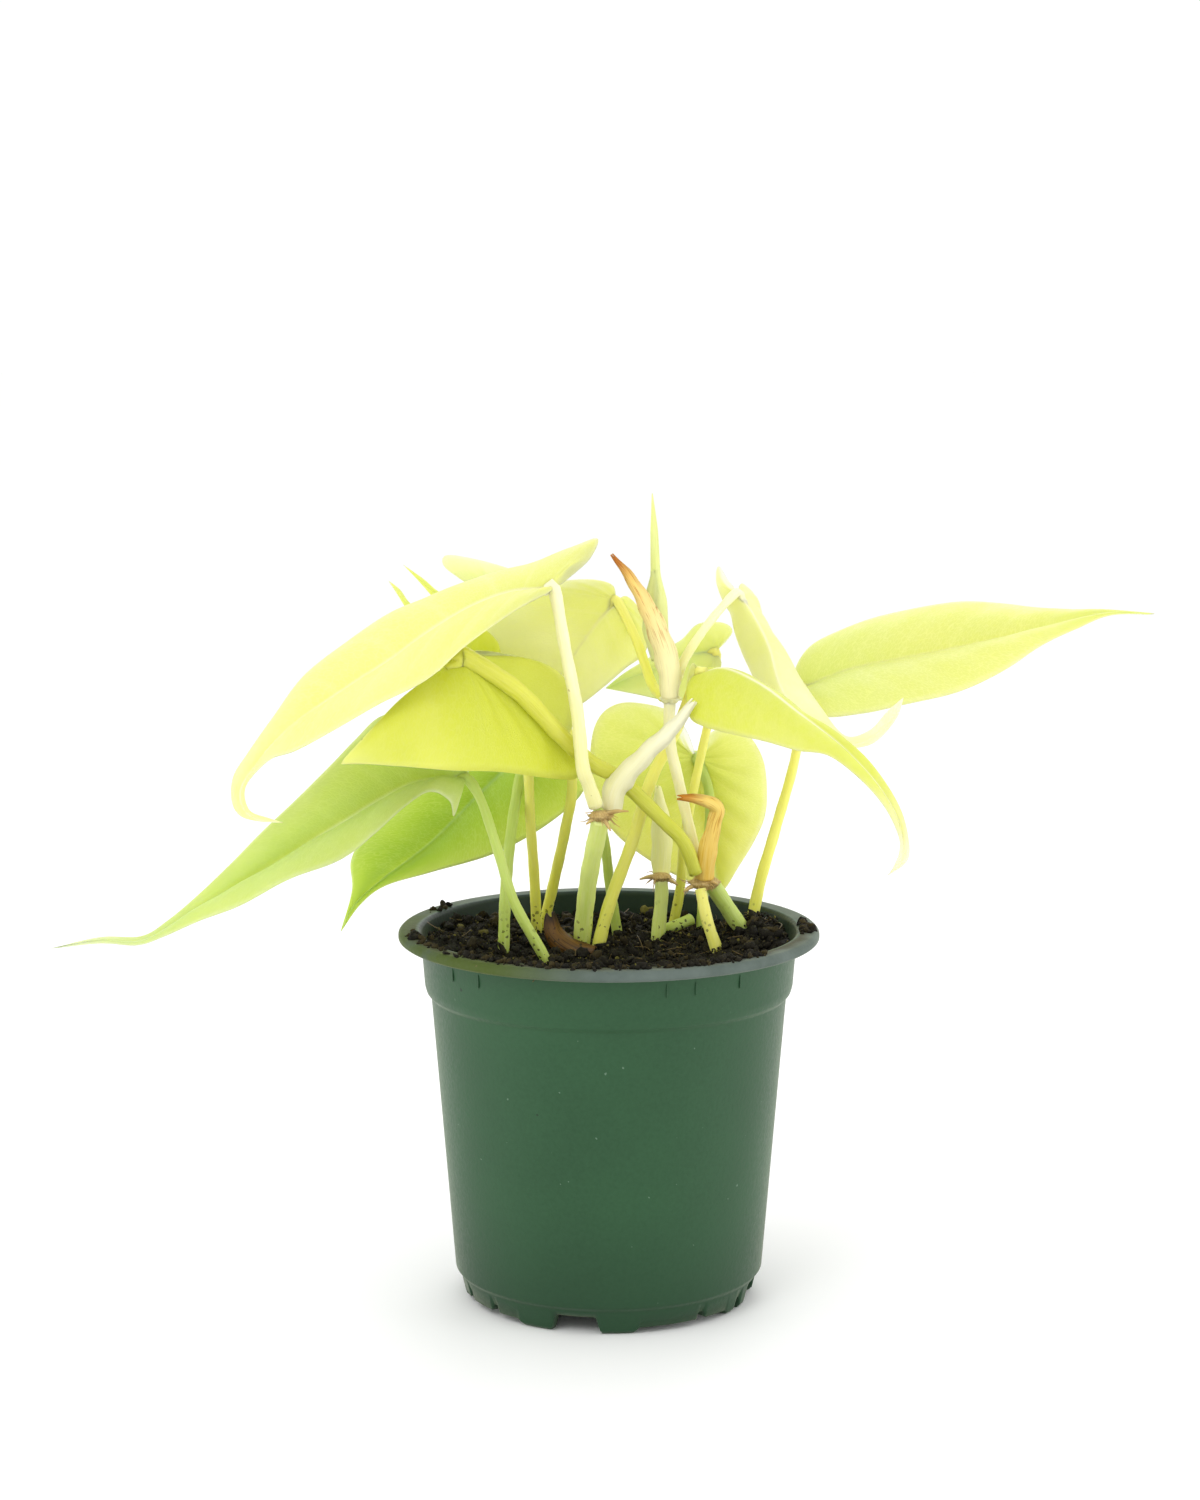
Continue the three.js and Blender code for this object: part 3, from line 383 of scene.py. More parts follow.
def frames_along(path, shares, side):
    """Two directions across the path at each share, carried along it without a twist."""
    headings = path.heading(shares)
    sides = []
    for heading in headings:
        side = unit(side - (side @ heading) * heading)
        sides.append(side)
    return np.array(sides), np.cross(headings, np.array(sides))


print("curve helpers ready")

# %% Faces and pieces
def ring_faces(rings, spots):
    """Four-sided faces between neighbouring rings, each ring closed on itself."""
    ring, spot = np.meshgrid(np.arange(rings - 1), np.arange(spots), indexing="ij")
    near, far = ring * spots + spot, ring * spots + (spot + 1) % spots
    return np.stack([near, far, far + spots, near + spots], axis=-1).reshape(-1, 4).tolist()


def flat_ends(rings, spots):
    """Faces that close the first and the last ring of a thin flat loop."""
    faces = []
    for ring in (0, rings - 1):
        first = ring * spots
        for spot in range(spots // 2 - 1):
            corners = [first + spot, first + spot + 1, first + spots - 2 - spot, first + spots - 1 - spot]
            faces.append(corners if ring == 0 else corners[::-1])
    return faces


def make_piece(name, shape, material, merge=0.002):
    """A smooth mesh object from a shape: points in millimetres, faces and values kept on the points."""
    points, faces, fields = shape
    mesh = bpy.data.meshes.new(name)
    mesh.from_pydata((np.asarray(points) * MM + AXIS).tolist(), [], faces)
    for label, values in fields.items():
        values = np.asarray(values, np.float32)
        kind, part = ("FLOAT_VECTOR", "vector") if values.ndim == 2 else ("FLOAT", "value")
        mesh.attributes.new(label, kind, "POINT").data.foreach_set(part, values.ravel())
    working = bmesh.new()
    working.from_mesh(mesh)
    bmesh.ops.remove_doubles(working, verts=working.verts, dist=merge * MM)
    bmesh.ops.recalc_face_normals(working, faces=working.faces)
    working.to_mesh(mesh)
    working.free()
    mesh.shade_smooth()
    piece = bpy.data.objects.new(name, mesh)
    piece.data.materials.append(material)
    bpy.context.scene.collection.objects.link(piece)
    return piece


def stand_for(piece, node):
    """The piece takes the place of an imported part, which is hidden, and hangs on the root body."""
    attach(piece, "root")
    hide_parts(node)
    print(piece.name, "for", node, len(piece.data.polygons), "faces")


def add_to(piece):
    """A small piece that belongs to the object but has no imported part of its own."""
    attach(piece, "root")
    print(piece.name, len(piece.data.polygons), "faces")


def join_parts(parts):
    """One shape, as points, faces and fields, from several."""
    points, faces, fields = [], [], {}
    start = 0
    for part_points, part_faces, part_fields in parts:
        points.append(part_points)
        faces += [[corner + start for corner in face] for face in part_faces]
        for label, values in part_fields.items():
            fields.setdefault(label, []).append(values)
        start += len(part_points)
    return np.vstack(points), faces, {label: np.concatenate(values) for label, values in fields.items()}


print("mesh helpers ready")

# %% [markdown]
# ## The floor
# The pot stands on a plain pale sheet. A large flat disc is enough: its edge is far outside every
# view, and faint mottling keeps it from being a dead flat white. It is marked as stage, so it
# never counts as part of the object.

# %% Make the floor
FLOOR_RADIUS = 9.0
FLOOR_SIDES = 64
material, tree, shader = new_material("floor_paper")
place = place_in(tree)
shade = clouded(tree, place, 9.0, 0.6)
feed(tree, shader.inputs["Base Color"], blended(tree, shade, colour("FAFAF9"), colour("FEFEFD")))
shader.inputs["Roughness"].default_value = 0.85
turns = np.linspace(0, 2 * math.pi, FLOOR_SIDES, endpoint=False)
disc = [(FLOOR_RADIUS * math.cos(turn), FLOOR_RADIUS * math.sin(turn), 0.0) for turn in turns]
mesh = bpy.data.meshes.new("floor")
mesh.from_pydata(disc, [], [list(range(FLOOR_SIDES))])
mesh.materials.append(material)
floor = bpy.data.objects.new("floor", mesh)
bpy.context.scene.collection.objects.link(floor)
floor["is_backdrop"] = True
print("floor", FLOOR_RADIUS, "m in radius")

# %% [markdown]
# ## The pot's plastic
# Thin moulded plastic, mid green and half matt. The flat lip has gone grey with handling, its left
# side has a green-brown stain, and grime from the soil lies along its inner edge. The inside is
# painted darker, as painted shade, and the wall grows darker towards its foot. Fine specks and slow
# clouds of tone cover the wall. The distance from the axis tells lip from wall, and the inside is
# where a face looks back at the axis, so one material serves the whole pot with no seams to hide.
# Each named pair says, in metres, where an effect starts and where it is full.

# %% Pot material
LIP_BAND, INSIDE_SHADE_BAND = (0.0513, 0.0528), (-0.01, -0.03)
STAIN_SIDE, STAIN_BACK = (-0.002, -0.034), (0.045, 0.005)
GRIME_BAND, GRIME_BACK, GRIME_WANDER = (0.0575, 0.0542), (0.02, -0.02), 0.0032
material, tree, shader = new_material("pot_plastic")
pot_plastic = material
spot = add(tree, "NewGeometry", {})
place = spot.outputs["Position"]
parts = add(tree, "SeparateXYZ", {"Vector": place}).outputs
east = sums(tree, "SUBTRACT", parts["X"], float(AXIS[0]))
squares = [sums(tree, "POWER", side, 2.0) for side in (east, parts["Y"])]
radius = sums(tree, "SQRT", sums(tree, "ADD", *squares))
high = sums(tree, "DIVIDE", parts["Z"], POT_HEIGHT * MM)
outward = add(tree, "CombineXYZ", {"X": east, "Y": parts["Y"]}).outputs["Vector"]
directions = {0: spot.outputs["Normal"], 1: outward}
facing = add(tree, "VectorMath", directions, operation="DOT_PRODUCT").outputs["Value"]
tone, grain = clouded(tree, place, 22.0, 1.3), clouded(tree, place, 900.0, 2.2)
wall = blended(tree, tone, colour("1B3F24"), colour("264F2F"))
wall = painted(tree, grain, 0.2, wall, "3C6345")
wall = painted(tree, ranged(tree, high, 0.0, 0.4, 0.5, 0.0), 1.0, wall, "15301D")
wall = painted(tree, speckled(tree, place, 430.0, 0.1, 0.09), 0.3, wall, "93AE98")
wall = painted(tree, speckled(tree, place, 200.0, 0.035, 0.09), 0.8, wall, "1A2A1C")
# Painted shade: the inside of the wall is painted darker where a face looks back at the axis.
wall = painted(tree, ranged(tree, facing, *INSIDE_SHADE_BAND), 0.8, wall, "0C1A10")
patchy = clouded(tree, place, 70.0, 1.6)
lip = blended(tree, patchy, colour("3F4C44"), colour("68736E"))
stained = scaled(tree, ranged(tree, parts["X"], *STAIN_SIDE), ranged(tree, parts["Y"], *STAIN_BACK))
stained = scaled(tree, stained, ranged(tree, patchy, 0.05, 0.5))
lip = painted(tree, stained, 0.95, lip, "435218")
inner = sums(tree, "ADD", radius, scaled(tree, patchy, GRIME_WANDER))
grime = scaled(tree, ranged(tree, inner, *GRIME_BAND), ranged(tree, parts["Y"], *GRIME_BACK))
lip = painted(tree, grime, 0.9, lip, "2A2310")
lip = painted(tree, speckled(tree, place, 190.0, 0.2, 0.16), 0.55, lip, "6A5B40")
on_lip = ranged(tree, radius, *LIP_BAND)
feed(tree, shader.inputs["Base Color"], blended(tree, on_lip, wall, lip))
worn = sums(tree, "ADD", 0.36, scaled(tree, grain, 0.16))
feed(tree, shader.inputs["Roughness"], sums(tree, "ADD", worn, scaled(tree, on_lip, 0.36)))
set_shader(shader, {
    "IOR": 1.48, "Specular IOR Level": 0.3, "Sheen Weight": 0.2, "Sheen Roughness": 0.3,
    "Sheen Tint": colour("EAF0CC"),
})
roughened(tree, shader, sums(tree, "ADD", grain, scaled(tree, tone, 0.5)), 0.00006, 0.5)
print("material:", material.name)

# %% [markdown]
# ## The pot's shell
# A nursery pot is blown or moulded in one thin wall, so turning an outline round its axis is the
# natural way to make it, as a lathe would. Every corner of the outline is rounded by a small arc,
# because a sharp plastic edge gives the render away. The foot ring isn't round: water runs out
# through four arches, a low step and small notches. There the outline's lowest points are lifted
# by an amount that depends on the turn angle, which needs no cutting. The four drain holes in the
# floor are cut by a Boolean modifier, because a turned outline can't hold them.

# %% Pot outline and foot lift
FOOT_RADIUS, FOOT_WIDTH, FLOOR_UNDER, FLOOR_TOP = 38.4, 2.2, 4.2, 5.8
BODY_LOW, BODY_HIGH = (42.0, 7.9), (48.2, 83.5)
COLLAR_LOW, COLLAR_TOP_RADIUS, WALL, LIP = (49.9, 86.4), 50.9, 1.4, 3.0
LIP_INNER_RADIUS = 51.6
ARCHES = [-103 + 90 * quarter for quarter in range(4)]
ARCH_WIDTH, ARCH_HEIGHT = 12.0, 4.8
FOOT_ANGLE, RING_LIFT = 24, 1.8
NOTCHES = [-159, -140, -52, -29, 21, 40, 128, 151]
NOTCH_WIDTH, NOTCH_LIFT = 3.0, 3.7
POT_COLUMNS = 640
lip_low = POT_HEIGHT - LIP


def rounded(corners, arc_points=5):
    """The outline with each corner (radius, height, rounding) replaced by a short arc."""
    outline = []
    for index, (radius, height, rounding) in enumerate(corners):
        corner = np.array([radius, height])
        if rounding == 0:
            outline.append(corner)
            continue
        before = unit(np.array(corners[index - 1][:2]) - corner)
        after = unit(np.array(corners[index + 1][:2]) - corner)
        for share in np.linspace(0, 1, arc_points):
            start, end = corner + before * rounding, corner + after * rounding
            outline.append((1 - share) ** 2 * start + 2 * share * (1 - share) * corner + share**2 * end)
    return np.array(outline)


def foot_lift(angle):
    """How far the foot ring's underside is raised at a turn angle in degrees."""
    to_degrees = np.degrees(1 / FOOT_RADIUS)
    arch_half, notch_half = 0.5 * ARCH_WIDTH * to_degrees, 0.5 * NOTCH_WIDTH * to_degrees
    raised = [(arch, arch_half - 1.5, arch_half + 1.5, ARCH_HEIGHT) for arch in ARCHES]
    raised += [(arch + 45, 44 - FOOT_ANGLE, 47 - FOOT_ANGLE, RING_LIFT) for arch in ARCHES]
    raised += [(notch, notch_half - 1.2, notch_half + 0.8, NOTCH_LIFT) for notch in NOTCHES]
    lift = np.zeros_like(angle)
    for middle, full, none, height in raised:
        off = np.abs((angle - middle + 180) % 360 - 180)
        lift = np.maximum(lift, height * (1 - smooth_step(off, full, none)))
    return lift


outline = rounded([
    (0.0, FLOOR_UNDER, 0), (FOOT_RADIUS - FOOT_WIDTH, FLOOR_UNDER, 0.3),
    (FOOT_RADIUS - FOOT_WIDTH, 0.0, 0.3), (FOOT_RADIUS, 0.0, 0.5), (FOOT_RADIUS + 1, 1.0, 0.4),
    (BODY_LOW[0] - 1.2, BODY_LOW[1] - 1.2, 0.5),
    (BODY_LOW[0], BODY_LOW[1], 0.5), (BODY_LOW[0] + 2.05, 33.0, 0), (BODY_LOW[0] + 4.1, 58.0, 0),
    (BODY_HIGH[0], BODY_HIGH[1], 0.35), (COLLAR_LOW[0] - 0.5, BODY_HIGH[1] + 1.2, 0.4),
    (COLLAR_LOW[0], COLLAR_LOW[1], 0.7), (COLLAR_TOP_RADIUS, lip_low + 0.6, 0.3),
    (RIM_RADIUS - 1, lip_low, 0.35), (RIM_RADIUS, lip_low + 0.7, 0.4), (RIM_RADIUS, POT_HEIGHT - 0.9, 0.5),
    (RIM_RADIUS - 0.9, POT_HEIGHT, 0.5), (LIP_INNER_RADIUS, POT_HEIGHT, 0.4),
    (LIP_INNER_RADIUS - 0.9, POT_HEIGHT - 0.8, 0.5), (COLLAR_LOW[0] - WALL, COLLAR_LOW[1] + 0.4, 0.6),
    (BODY_HIGH[0] - WALL, BODY_HIGH[1] - 0.6, 0.4), (BODY_LOW[0] - WALL, BODY_LOW[1], 0.6),
    (BODY_LOW[0] - WALL - 0.8, FLOOR_TOP, 0.5), (0.0, FLOOR_TOP, 0),
])
print("outline points:", len(outline))

# %% Turn the pot and cut its drain holes
HOLE_RADIUS, HOLE_RING, HOLE_SIDES, CUT_DEPTH = 4.0, 28.0, 48, 6
turns = np.linspace(-180, 180, POT_COLUMNS, endpoint=False)
cosines, sines = np.cos(np.radians(turns)), np.sin(np.radians(turns))
lift = foot_lift(turns)
points = []
for radius, height in outline:
    at_foot = FOOT_RADIUS - FOOT_WIDTH - 0.1 < radius < FOOT_RADIUS + 3 and height < FLOOR_UNDER - 0.31
    allowed = np.minimum(lift, FLOOR_UNDER - 0.3) if radius < FOOT_RADIUS - 1 else lift
    heights = np.maximum(height, allowed) if at_foot else np.full(POT_COLUMNS, height)
    points.append(np.stack([radius * cosines, radius * sines, heights], axis=-1))
turned = (np.vstack(points), ring_faces(len(outline), POT_COLUMNS), {})
shell = make_piece("pot_shell", turned, pot_plastic)
for quarter, arch in enumerate(ARCHES):
    size = {"radius": HOLE_RADIUS * MM, "depth": CUT_DEPTH * MM}
    bpy.ops.mesh.primitive_cylinder_add(vertices=HOLE_SIDES, **size)
    cutter = bpy.context.object
    turn = math.radians(arch + 45)
    middle = 0.5 * (FLOOR_UNDER + FLOOR_TOP)
    spot_mm = np.array([HOLE_RING * math.cos(turn), HOLE_RING * math.sin(turn), middle])
    cutter.location = spot_mm * MM + AXIS
    hole = shell.modifiers.new(f"drain_hole_{quarter}", "BOOLEAN")
    hole.operation = "DIFFERENCE"
    hole.solver = "MANIFOLD"
    hole.object = cutter
bpy.context.view_layer.update()
cut = bpy.data.meshes.new_from_object(shell.evaluated_get(bpy.context.evaluated_depsgraph_get()))
cutters = [hole.object for hole in shell.modifiers]
shell.modifiers.clear()
shell.data = cut
for cutter in cutters:
    bpy.data.objects.remove(cutter)
stand_for(shell, "nursery_pot")

# %% [markdown]
# ## How a leaf blade is shaped
# A heartleaf blade is a thin sheet, about half a millimetre thick at its midrib and half that at
# its margin. Subdividing a coarse sheet would round its pointed tip away, and cloth simulation would
# lose its outline, so each blade is drawn the way it grows. A spine runs along the midrib from the
# stalk to the long drip tip. Each half has a margin, which starts at the stalk, goes round the heart
# lobe behind it and ends at the same tip. Strips run from the spine out to the margin and slant
# forward, as the side veins do, and each is bulged a little between midrib and margin.
# Fine relief goes on top: the veins are sunk above and stand out below, and the sheet swells
# slightly between them. Every point keeps its place among the veins, for the material to read.

# %% Shape of one blade
STRIP_PITCH = 0.95
HALF_COLUMNS = 17
SPINE_PLACES = 500
VEIN_SLANT = 0.5
STEADY = 0.06
MOST_BULGE = 0.15
MIDRIB_THICKNESS, MARGIN_THICKNESS = 0.55, 0.26
VEINS_PER_HALF = 9
VEIN_BEND = 0.045
QUILT_HEIGHT, RIDGE_DEPTH, FURROW_DEPTH, FURROW_WIDTH = 0.32, 0.85, 0.22, 0.9
QUILT_REACH, RUFFLE_REACH, FURROW_REACH = 12.0, 15.0, 6.0
TIP_SIZE = 0.35


def eased(values, strips):
    """Values along the strips with small jumps smoothed out."""
    reach = max(2, strips // 28)
    window = np.hanning(2 * reach + 3)[1:-1]
    window /= window.sum()
    columns = np.reshape(values, (len(values), -1)).T
    padded = [np.concatenate([[column[0]] * reach, column, [column[-1]] * reach]) for column in columns]
    smooth = np.stack([np.convolve(column, window, mode="valid") for column in padded], axis=-1)
    return smooth.reshape(np.shape(values))


def blade_strips(blade):
    """Where each strip leaves the midrib, where it meets the two margins and which way is up."""
    spine = Path(blade["spine"])
    ends = [blade["spine"][0], blade["spine"][-1]]
    margins = [Path([ends[0], *blade[half], ends[1]]) for half in ("first", "second")]
    strips = int(max(margin.length for margin in margins) / STRIP_PITCH)
    shares = np.linspace(0.006, 0.994, strips)
    places = np.linspace(0, 1, SPINE_PLACES)
    midrib = spine.at(places)
    starts = []
    for margin in margins:
        reached = margin.at(shares)
        distances = np.linalg.norm(reached[:, None] - midrib[None], axis=2)
        nearest = places[np.argmin(distances, axis=1)]
        starts.append(np.maximum(0.0, nearest - VEIN_SLANT * distances.min(axis=1) / spine.length))
    start = np.maximum.accumulate(eased(0.5 * (starts[0] + starts[1]), strips))
    start = np.clip(start, 0.0, 0.998)
    headings = spine.heading(start)
    base = spine.at(np.minimum(start, 1 - STEADY))
    normals = []
    for side, margin in zip((-1, 1), margins):
        sideways = margin.at(np.clip(shares, STEADY, 1 - STEADY)) - base
        normals.append(unit(eased(side * unit(np.cross(sideways, headings)), strips)))
    up = unit(normals[0] + normals[1])
    seated = np.flatnonzero(start < 0.002)
    if len(seated):
        up[seated] = up[seated[-1]]
    return {
        "shares": shares, "start": start, "middle": spine.at(start), "up": up, "normals": normals,
        "margins": [margin.at(shares) for margin in margins],
    }


print("strips every", STRIP_PITCH, "mm")

# %% Halves and mesh of one blade
def blade_half(blade, strips, half, column):
    """The upper and lower face of one half at one column, with the values kept on its points."""
    outward = strips["margins"][half] - strips["middle"]
    reach = np.linalg.norm(outward, axis=1)
    share = (column / HALF_COLUMNS) ** 1.3
    normal = strips["normals"][half]
    hump = 4 * share * (1 - share)
    bulge = hump * np.minimum(blade["arch"][half], MOST_BULGE * reach)
    vein_line = strips["shares"] - VEIN_BEND * share**2
    swelling = 0.5 - 0.5 * np.cos(2 * math.pi * vein_line * VEINS_PER_HALF)
    quilt = QUILT_HEIGHT * swelling * np.minimum(1.0, reach / QUILT_REACH) * hump
    waves = np.sin(2 * math.pi * (strips["shares"] * blade["waves"] + 0.37 * half)) * share**2
    ruffle = blade["ruffle"] * waves * np.minimum(1.0, reach / RUFFLE_REACH)
    middle = strips["middle"] + share * outward + (bulge + ruffle + quilt)[:, None] * normal
    along = strips["start"]
    distance = share * reach
    thick = MARGIN_THICKNESS + (MIDRIB_THICKNESS - MARGIN_THICKNESS) * (1 - share) ** 1.5
    rib = (1.15 - 0.85 * along**0.6) * np.minimum(1.0, reach / 3.0 + 0.25)
    ridge = RIDGE_DEPTH * rib * np.exp(-((distance / (0.75 * rib)) ** 2))
    furrow = FURROW_DEPTH * np.exp(-((distance / FURROW_WIDTH) ** 2)) * np.minimum(1.0, reach / FURROW_REACH)
    toward = smooth_step(np.full_like(along, share), 0.0, 0.25)[:, None]
    lean = unit(strips["up"] * (1 - toward) + normal * toward)
    upper = middle + lean * (thick / 2 - furrow)[:, None]
    lower = middle - lean * (thick / 2 + ridge)[:, None]
    fields = {
        "vein_line": np.stack([vein_line, np.full_like(along, share), along], axis=1),
        "rib_distance": distance,
        "reach": reach,
    }
    return upper, lower, fields


def blade_mesh(blade):
    """Points, faces and fields of a whole blade: closed loops round each strip."""
    strips = blade_strips(blade)
    order = [(0, column) for column in range(HALF_COLUMNS, 0, -1)]
    order += [(1, column) for column in range(HALF_COLUMNS + 1)]
    made = [blade_half(blade, strips, half, column) for half, column in order]
    loops, kept = [], {}
    for face, run in enumerate((made, made[::-1])):
        for piece in run:
            loops.append(piece[face])
            for label, values in piece[2].items():
                kept.setdefault(label, []).append(values)
            kept.setdefault("upper_face", []).append(np.full(len(strips["start"]), 1.0 - face))
    points = np.stack(loops, axis=1)
    rings, spots = points.shape[:2]
    flat = points.reshape(-1, 3)
    tip = np.array(blade["spine"][-1], float)
    last = slice((rings - 1) * spots, rings * spots)
    flat[last] = tip + TIP_SIZE * (flat[last] - tip)
    fields = {}
    for label, values in kept.items():
        fields[label] = np.stack(values, axis=1).reshape(len(flat), -1).squeeze()
    return flat, ring_faces(rings, spots) + flat_ends(rings, spots), fields


print("blades:", 2 * HALF_COLUMNS + 1, "points across")

# %% [markdown]
# ## What a leaf is made of
# Living leaf tissue is waxy on top and lets a good part of the light through, which is why the
# golden leaves glow. Subsurface scattering in the Principled shader does both: light enters one
# face, spreads for a few millimetres and leaves by the other. The veins come from the strips' own
# coordinates: the midrib is pale, the side veins are faint lines, and a fine net lies between
# them. A shared group turns those coordinates into masks, and each leaf gives it its own colours,
# because here some leaves are butter yellow, some lime and some still green.

# %% Vein masks
SIDE_VEIN_WIDTH, NET_WIDTH = 0.13, 0.12
NET_ALONG, NET_ACROSS = 150.0, 0.55
veins, given, out = new_group(
    "Leaf veins",
    {"Vein line": None, "Rib distance": 0.0, "Reach": 10.0, "Count": float(VEINS_PER_HALF)},
    ["Midrib", "Side veins", "Net", "Along", "Across"],
)
lines = add(veins, "SeparateXYZ", {"Vector": given["Vein line"]}).outputs
rib_width = ranged(veins, lines["Z"], 0.0, 1.0, 1.1, 0.35)
off_rib = sums(veins, "DIVIDE", given["Rib distance"], rib_width)
midrib = sums(veins, "SUBTRACT", 1.0, off_rib, clamp=True)
feed(veins, out["Midrib"], sums(veins, "POWER", midrib, 1.4))
phase = sums(veins, "FRACT", scaled(veins, lines["X"], given["Count"]))
off = sums(veins, "MINIMUM", phase, sums(veins, "SUBTRACT", 1.0, phase))
side = scaled(veins, ranged(veins, off, SIDE_VEIN_WIDTH, 0.0), ranged(veins, lines["Y"], 1.0, 0.35))
wide = ranged(veins, given["Reach"], 4.0, 14.0)
feed(veins, out["Side veins"], scaled(veins, side, wide))
spread = add(veins, "CombineXYZ", {
    "X": scaled(veins, lines["X"], NET_ALONG),
    "Y": scaled(veins, given["Rib distance"], NET_ACROSS),
})
net = add(veins, "TexVoronoi", {
    "Vector": spread.outputs["Vector"], "Scale": 1.0,
}, feature="DISTANCE_TO_EDGE")
feed(veins, out["Net"], scaled(veins, ranged(veins, net.outputs["Distance"], NET_WIDTH, 0.0), wide))
feed(veins, out["Along"], lines["Z"])
feed(veins, out["Across"], lines["Y"])
print("group:", veins.name)

# %% Leaf material
LEAF_GLOW, LEAF_DEPTH = (1.0, 1.0, 0.45), 0.0022


def leaf_material(name, looks):
    """Waxy, light-passing leaf tissue with the leaf's own colours from base to tip."""
    material, tree, shader = new_material(name)
    place = place_in(tree)
    drawn = use_group(tree, veins, {
        "Vein line": own_value(tree, "vein_line", "Vector"),
        "Rib distance": own_value(tree, "rib_distance"),
        "Reach": own_value(tree, "reach"),
    })
    shade, fine = clouded(tree, place, 48.0, 1.9), clouded(tree, place, 420.0, 1.7)
    below = sums(tree, "SUBTRACT", 1.0, own_value(tree, "upper_face"))
    from_base = ranged(tree, drawn["Along"], 0.02, 0.45)
    tissue = blended(tree, from_base, colour(looks["base"]), colour(looks["body"]))
    layers = [
        (ranged(tree, drawn["Along"], 0.6, 1.0), 1.0, looks["tip"]),
        (shade, looks["clouds"], looks["cloud"]),
        (fine, 0.12, looks["tip"]),
        (ranged(tree, drawn["Across"], 0.9, 1.0), 0.2, looks["rib"]),
        (drawn["Side veins"], looks["veins"], looks["vein"]),
        (drawn["Net"], 0.16, looks["vein"]),
        (drawn["Midrib"], looks["midrib"], looks["rib"]),
        (below, 0.22, looks["under"]),
        (speckled(tree, place, 110.0, looks["specks"], 0.085), 0.75, "6B6A2E"),
    ]
    for mask, share, code in layers:
        tissue = painted(tree, mask, share, tissue, code)
    feed(tree, shader.inputs["Base Color"], tissue)
    waxy = sums(tree, "ADD", 0.34, scaled(tree, fine, 0.14))
    feed(tree, shader.inputs["Roughness"], sums(tree, "ADD", waxy, scaled(tree, shade, 0.06)))
    set_shader(shader, {"IOR": 1.42, "Specular IOR Level": 0.35})
    let_light_through(shader, 0.75, LEAF_GLOW, LEAF_DEPTH)
    sunk = scaled(tree, sums(tree, "ADD", drawn["Side veins"], drawn["Net"]), -0.5)
    roughened(tree, shader, sums(tree, "ADD", scaled(tree, fine, 0.5), sunk), 0.00012, 0.45)
    return material


BUTTER = {
    "base": "DEE07E", "body": "E6E68E", "tip": "EAEAAA", "cloud": "D8DE74", "clouds": 0.5, "rib": "F1EBC6",
    "vein": "EEECB6", "veins": 0.14, "midrib": 0.45, "under": "E8E8A8", "specks": 0.02,
}
LIME = {
    "base": "C6CE32", "body": "D8DC54", "tip": "E4E684", "cloud": "CAD23C", "clouds": 0.55, "rib": "E0E28E",
    "vein": "DCE07A", "veins": 0.12, "midrib": 0.4, "under": "DAE090", "specks": 0.02,
}
LEAFY = {
    "base": "AAC066", "body": "B0C468", "tip": "C8D4A0", "cloud": "98B45A", "clouds": 0.6, "rib": "D0DEBE",
    "vein": "C4D68C", "veins": 0.14, "midrib": 0.8, "under": "BCD080", "specks": 0.02,
}
print("leaf families: butter, lime, leafy")

# %% [markdown]
# ## The thirteen blades
# Each blade has its own few points, in millimetres from the pot's axis: along the midrib, then
# along the margin of each half. They are listed from the leaves on the left to those on the right.
# Arch is the bulge of the two halves, ruffle and waves are the gentle rise and fall of the margin,
# and the colours are the leaf's own changes to its family. The finer shape comes from the strips,
# so a blade can be bent or widened by moving a point or two.

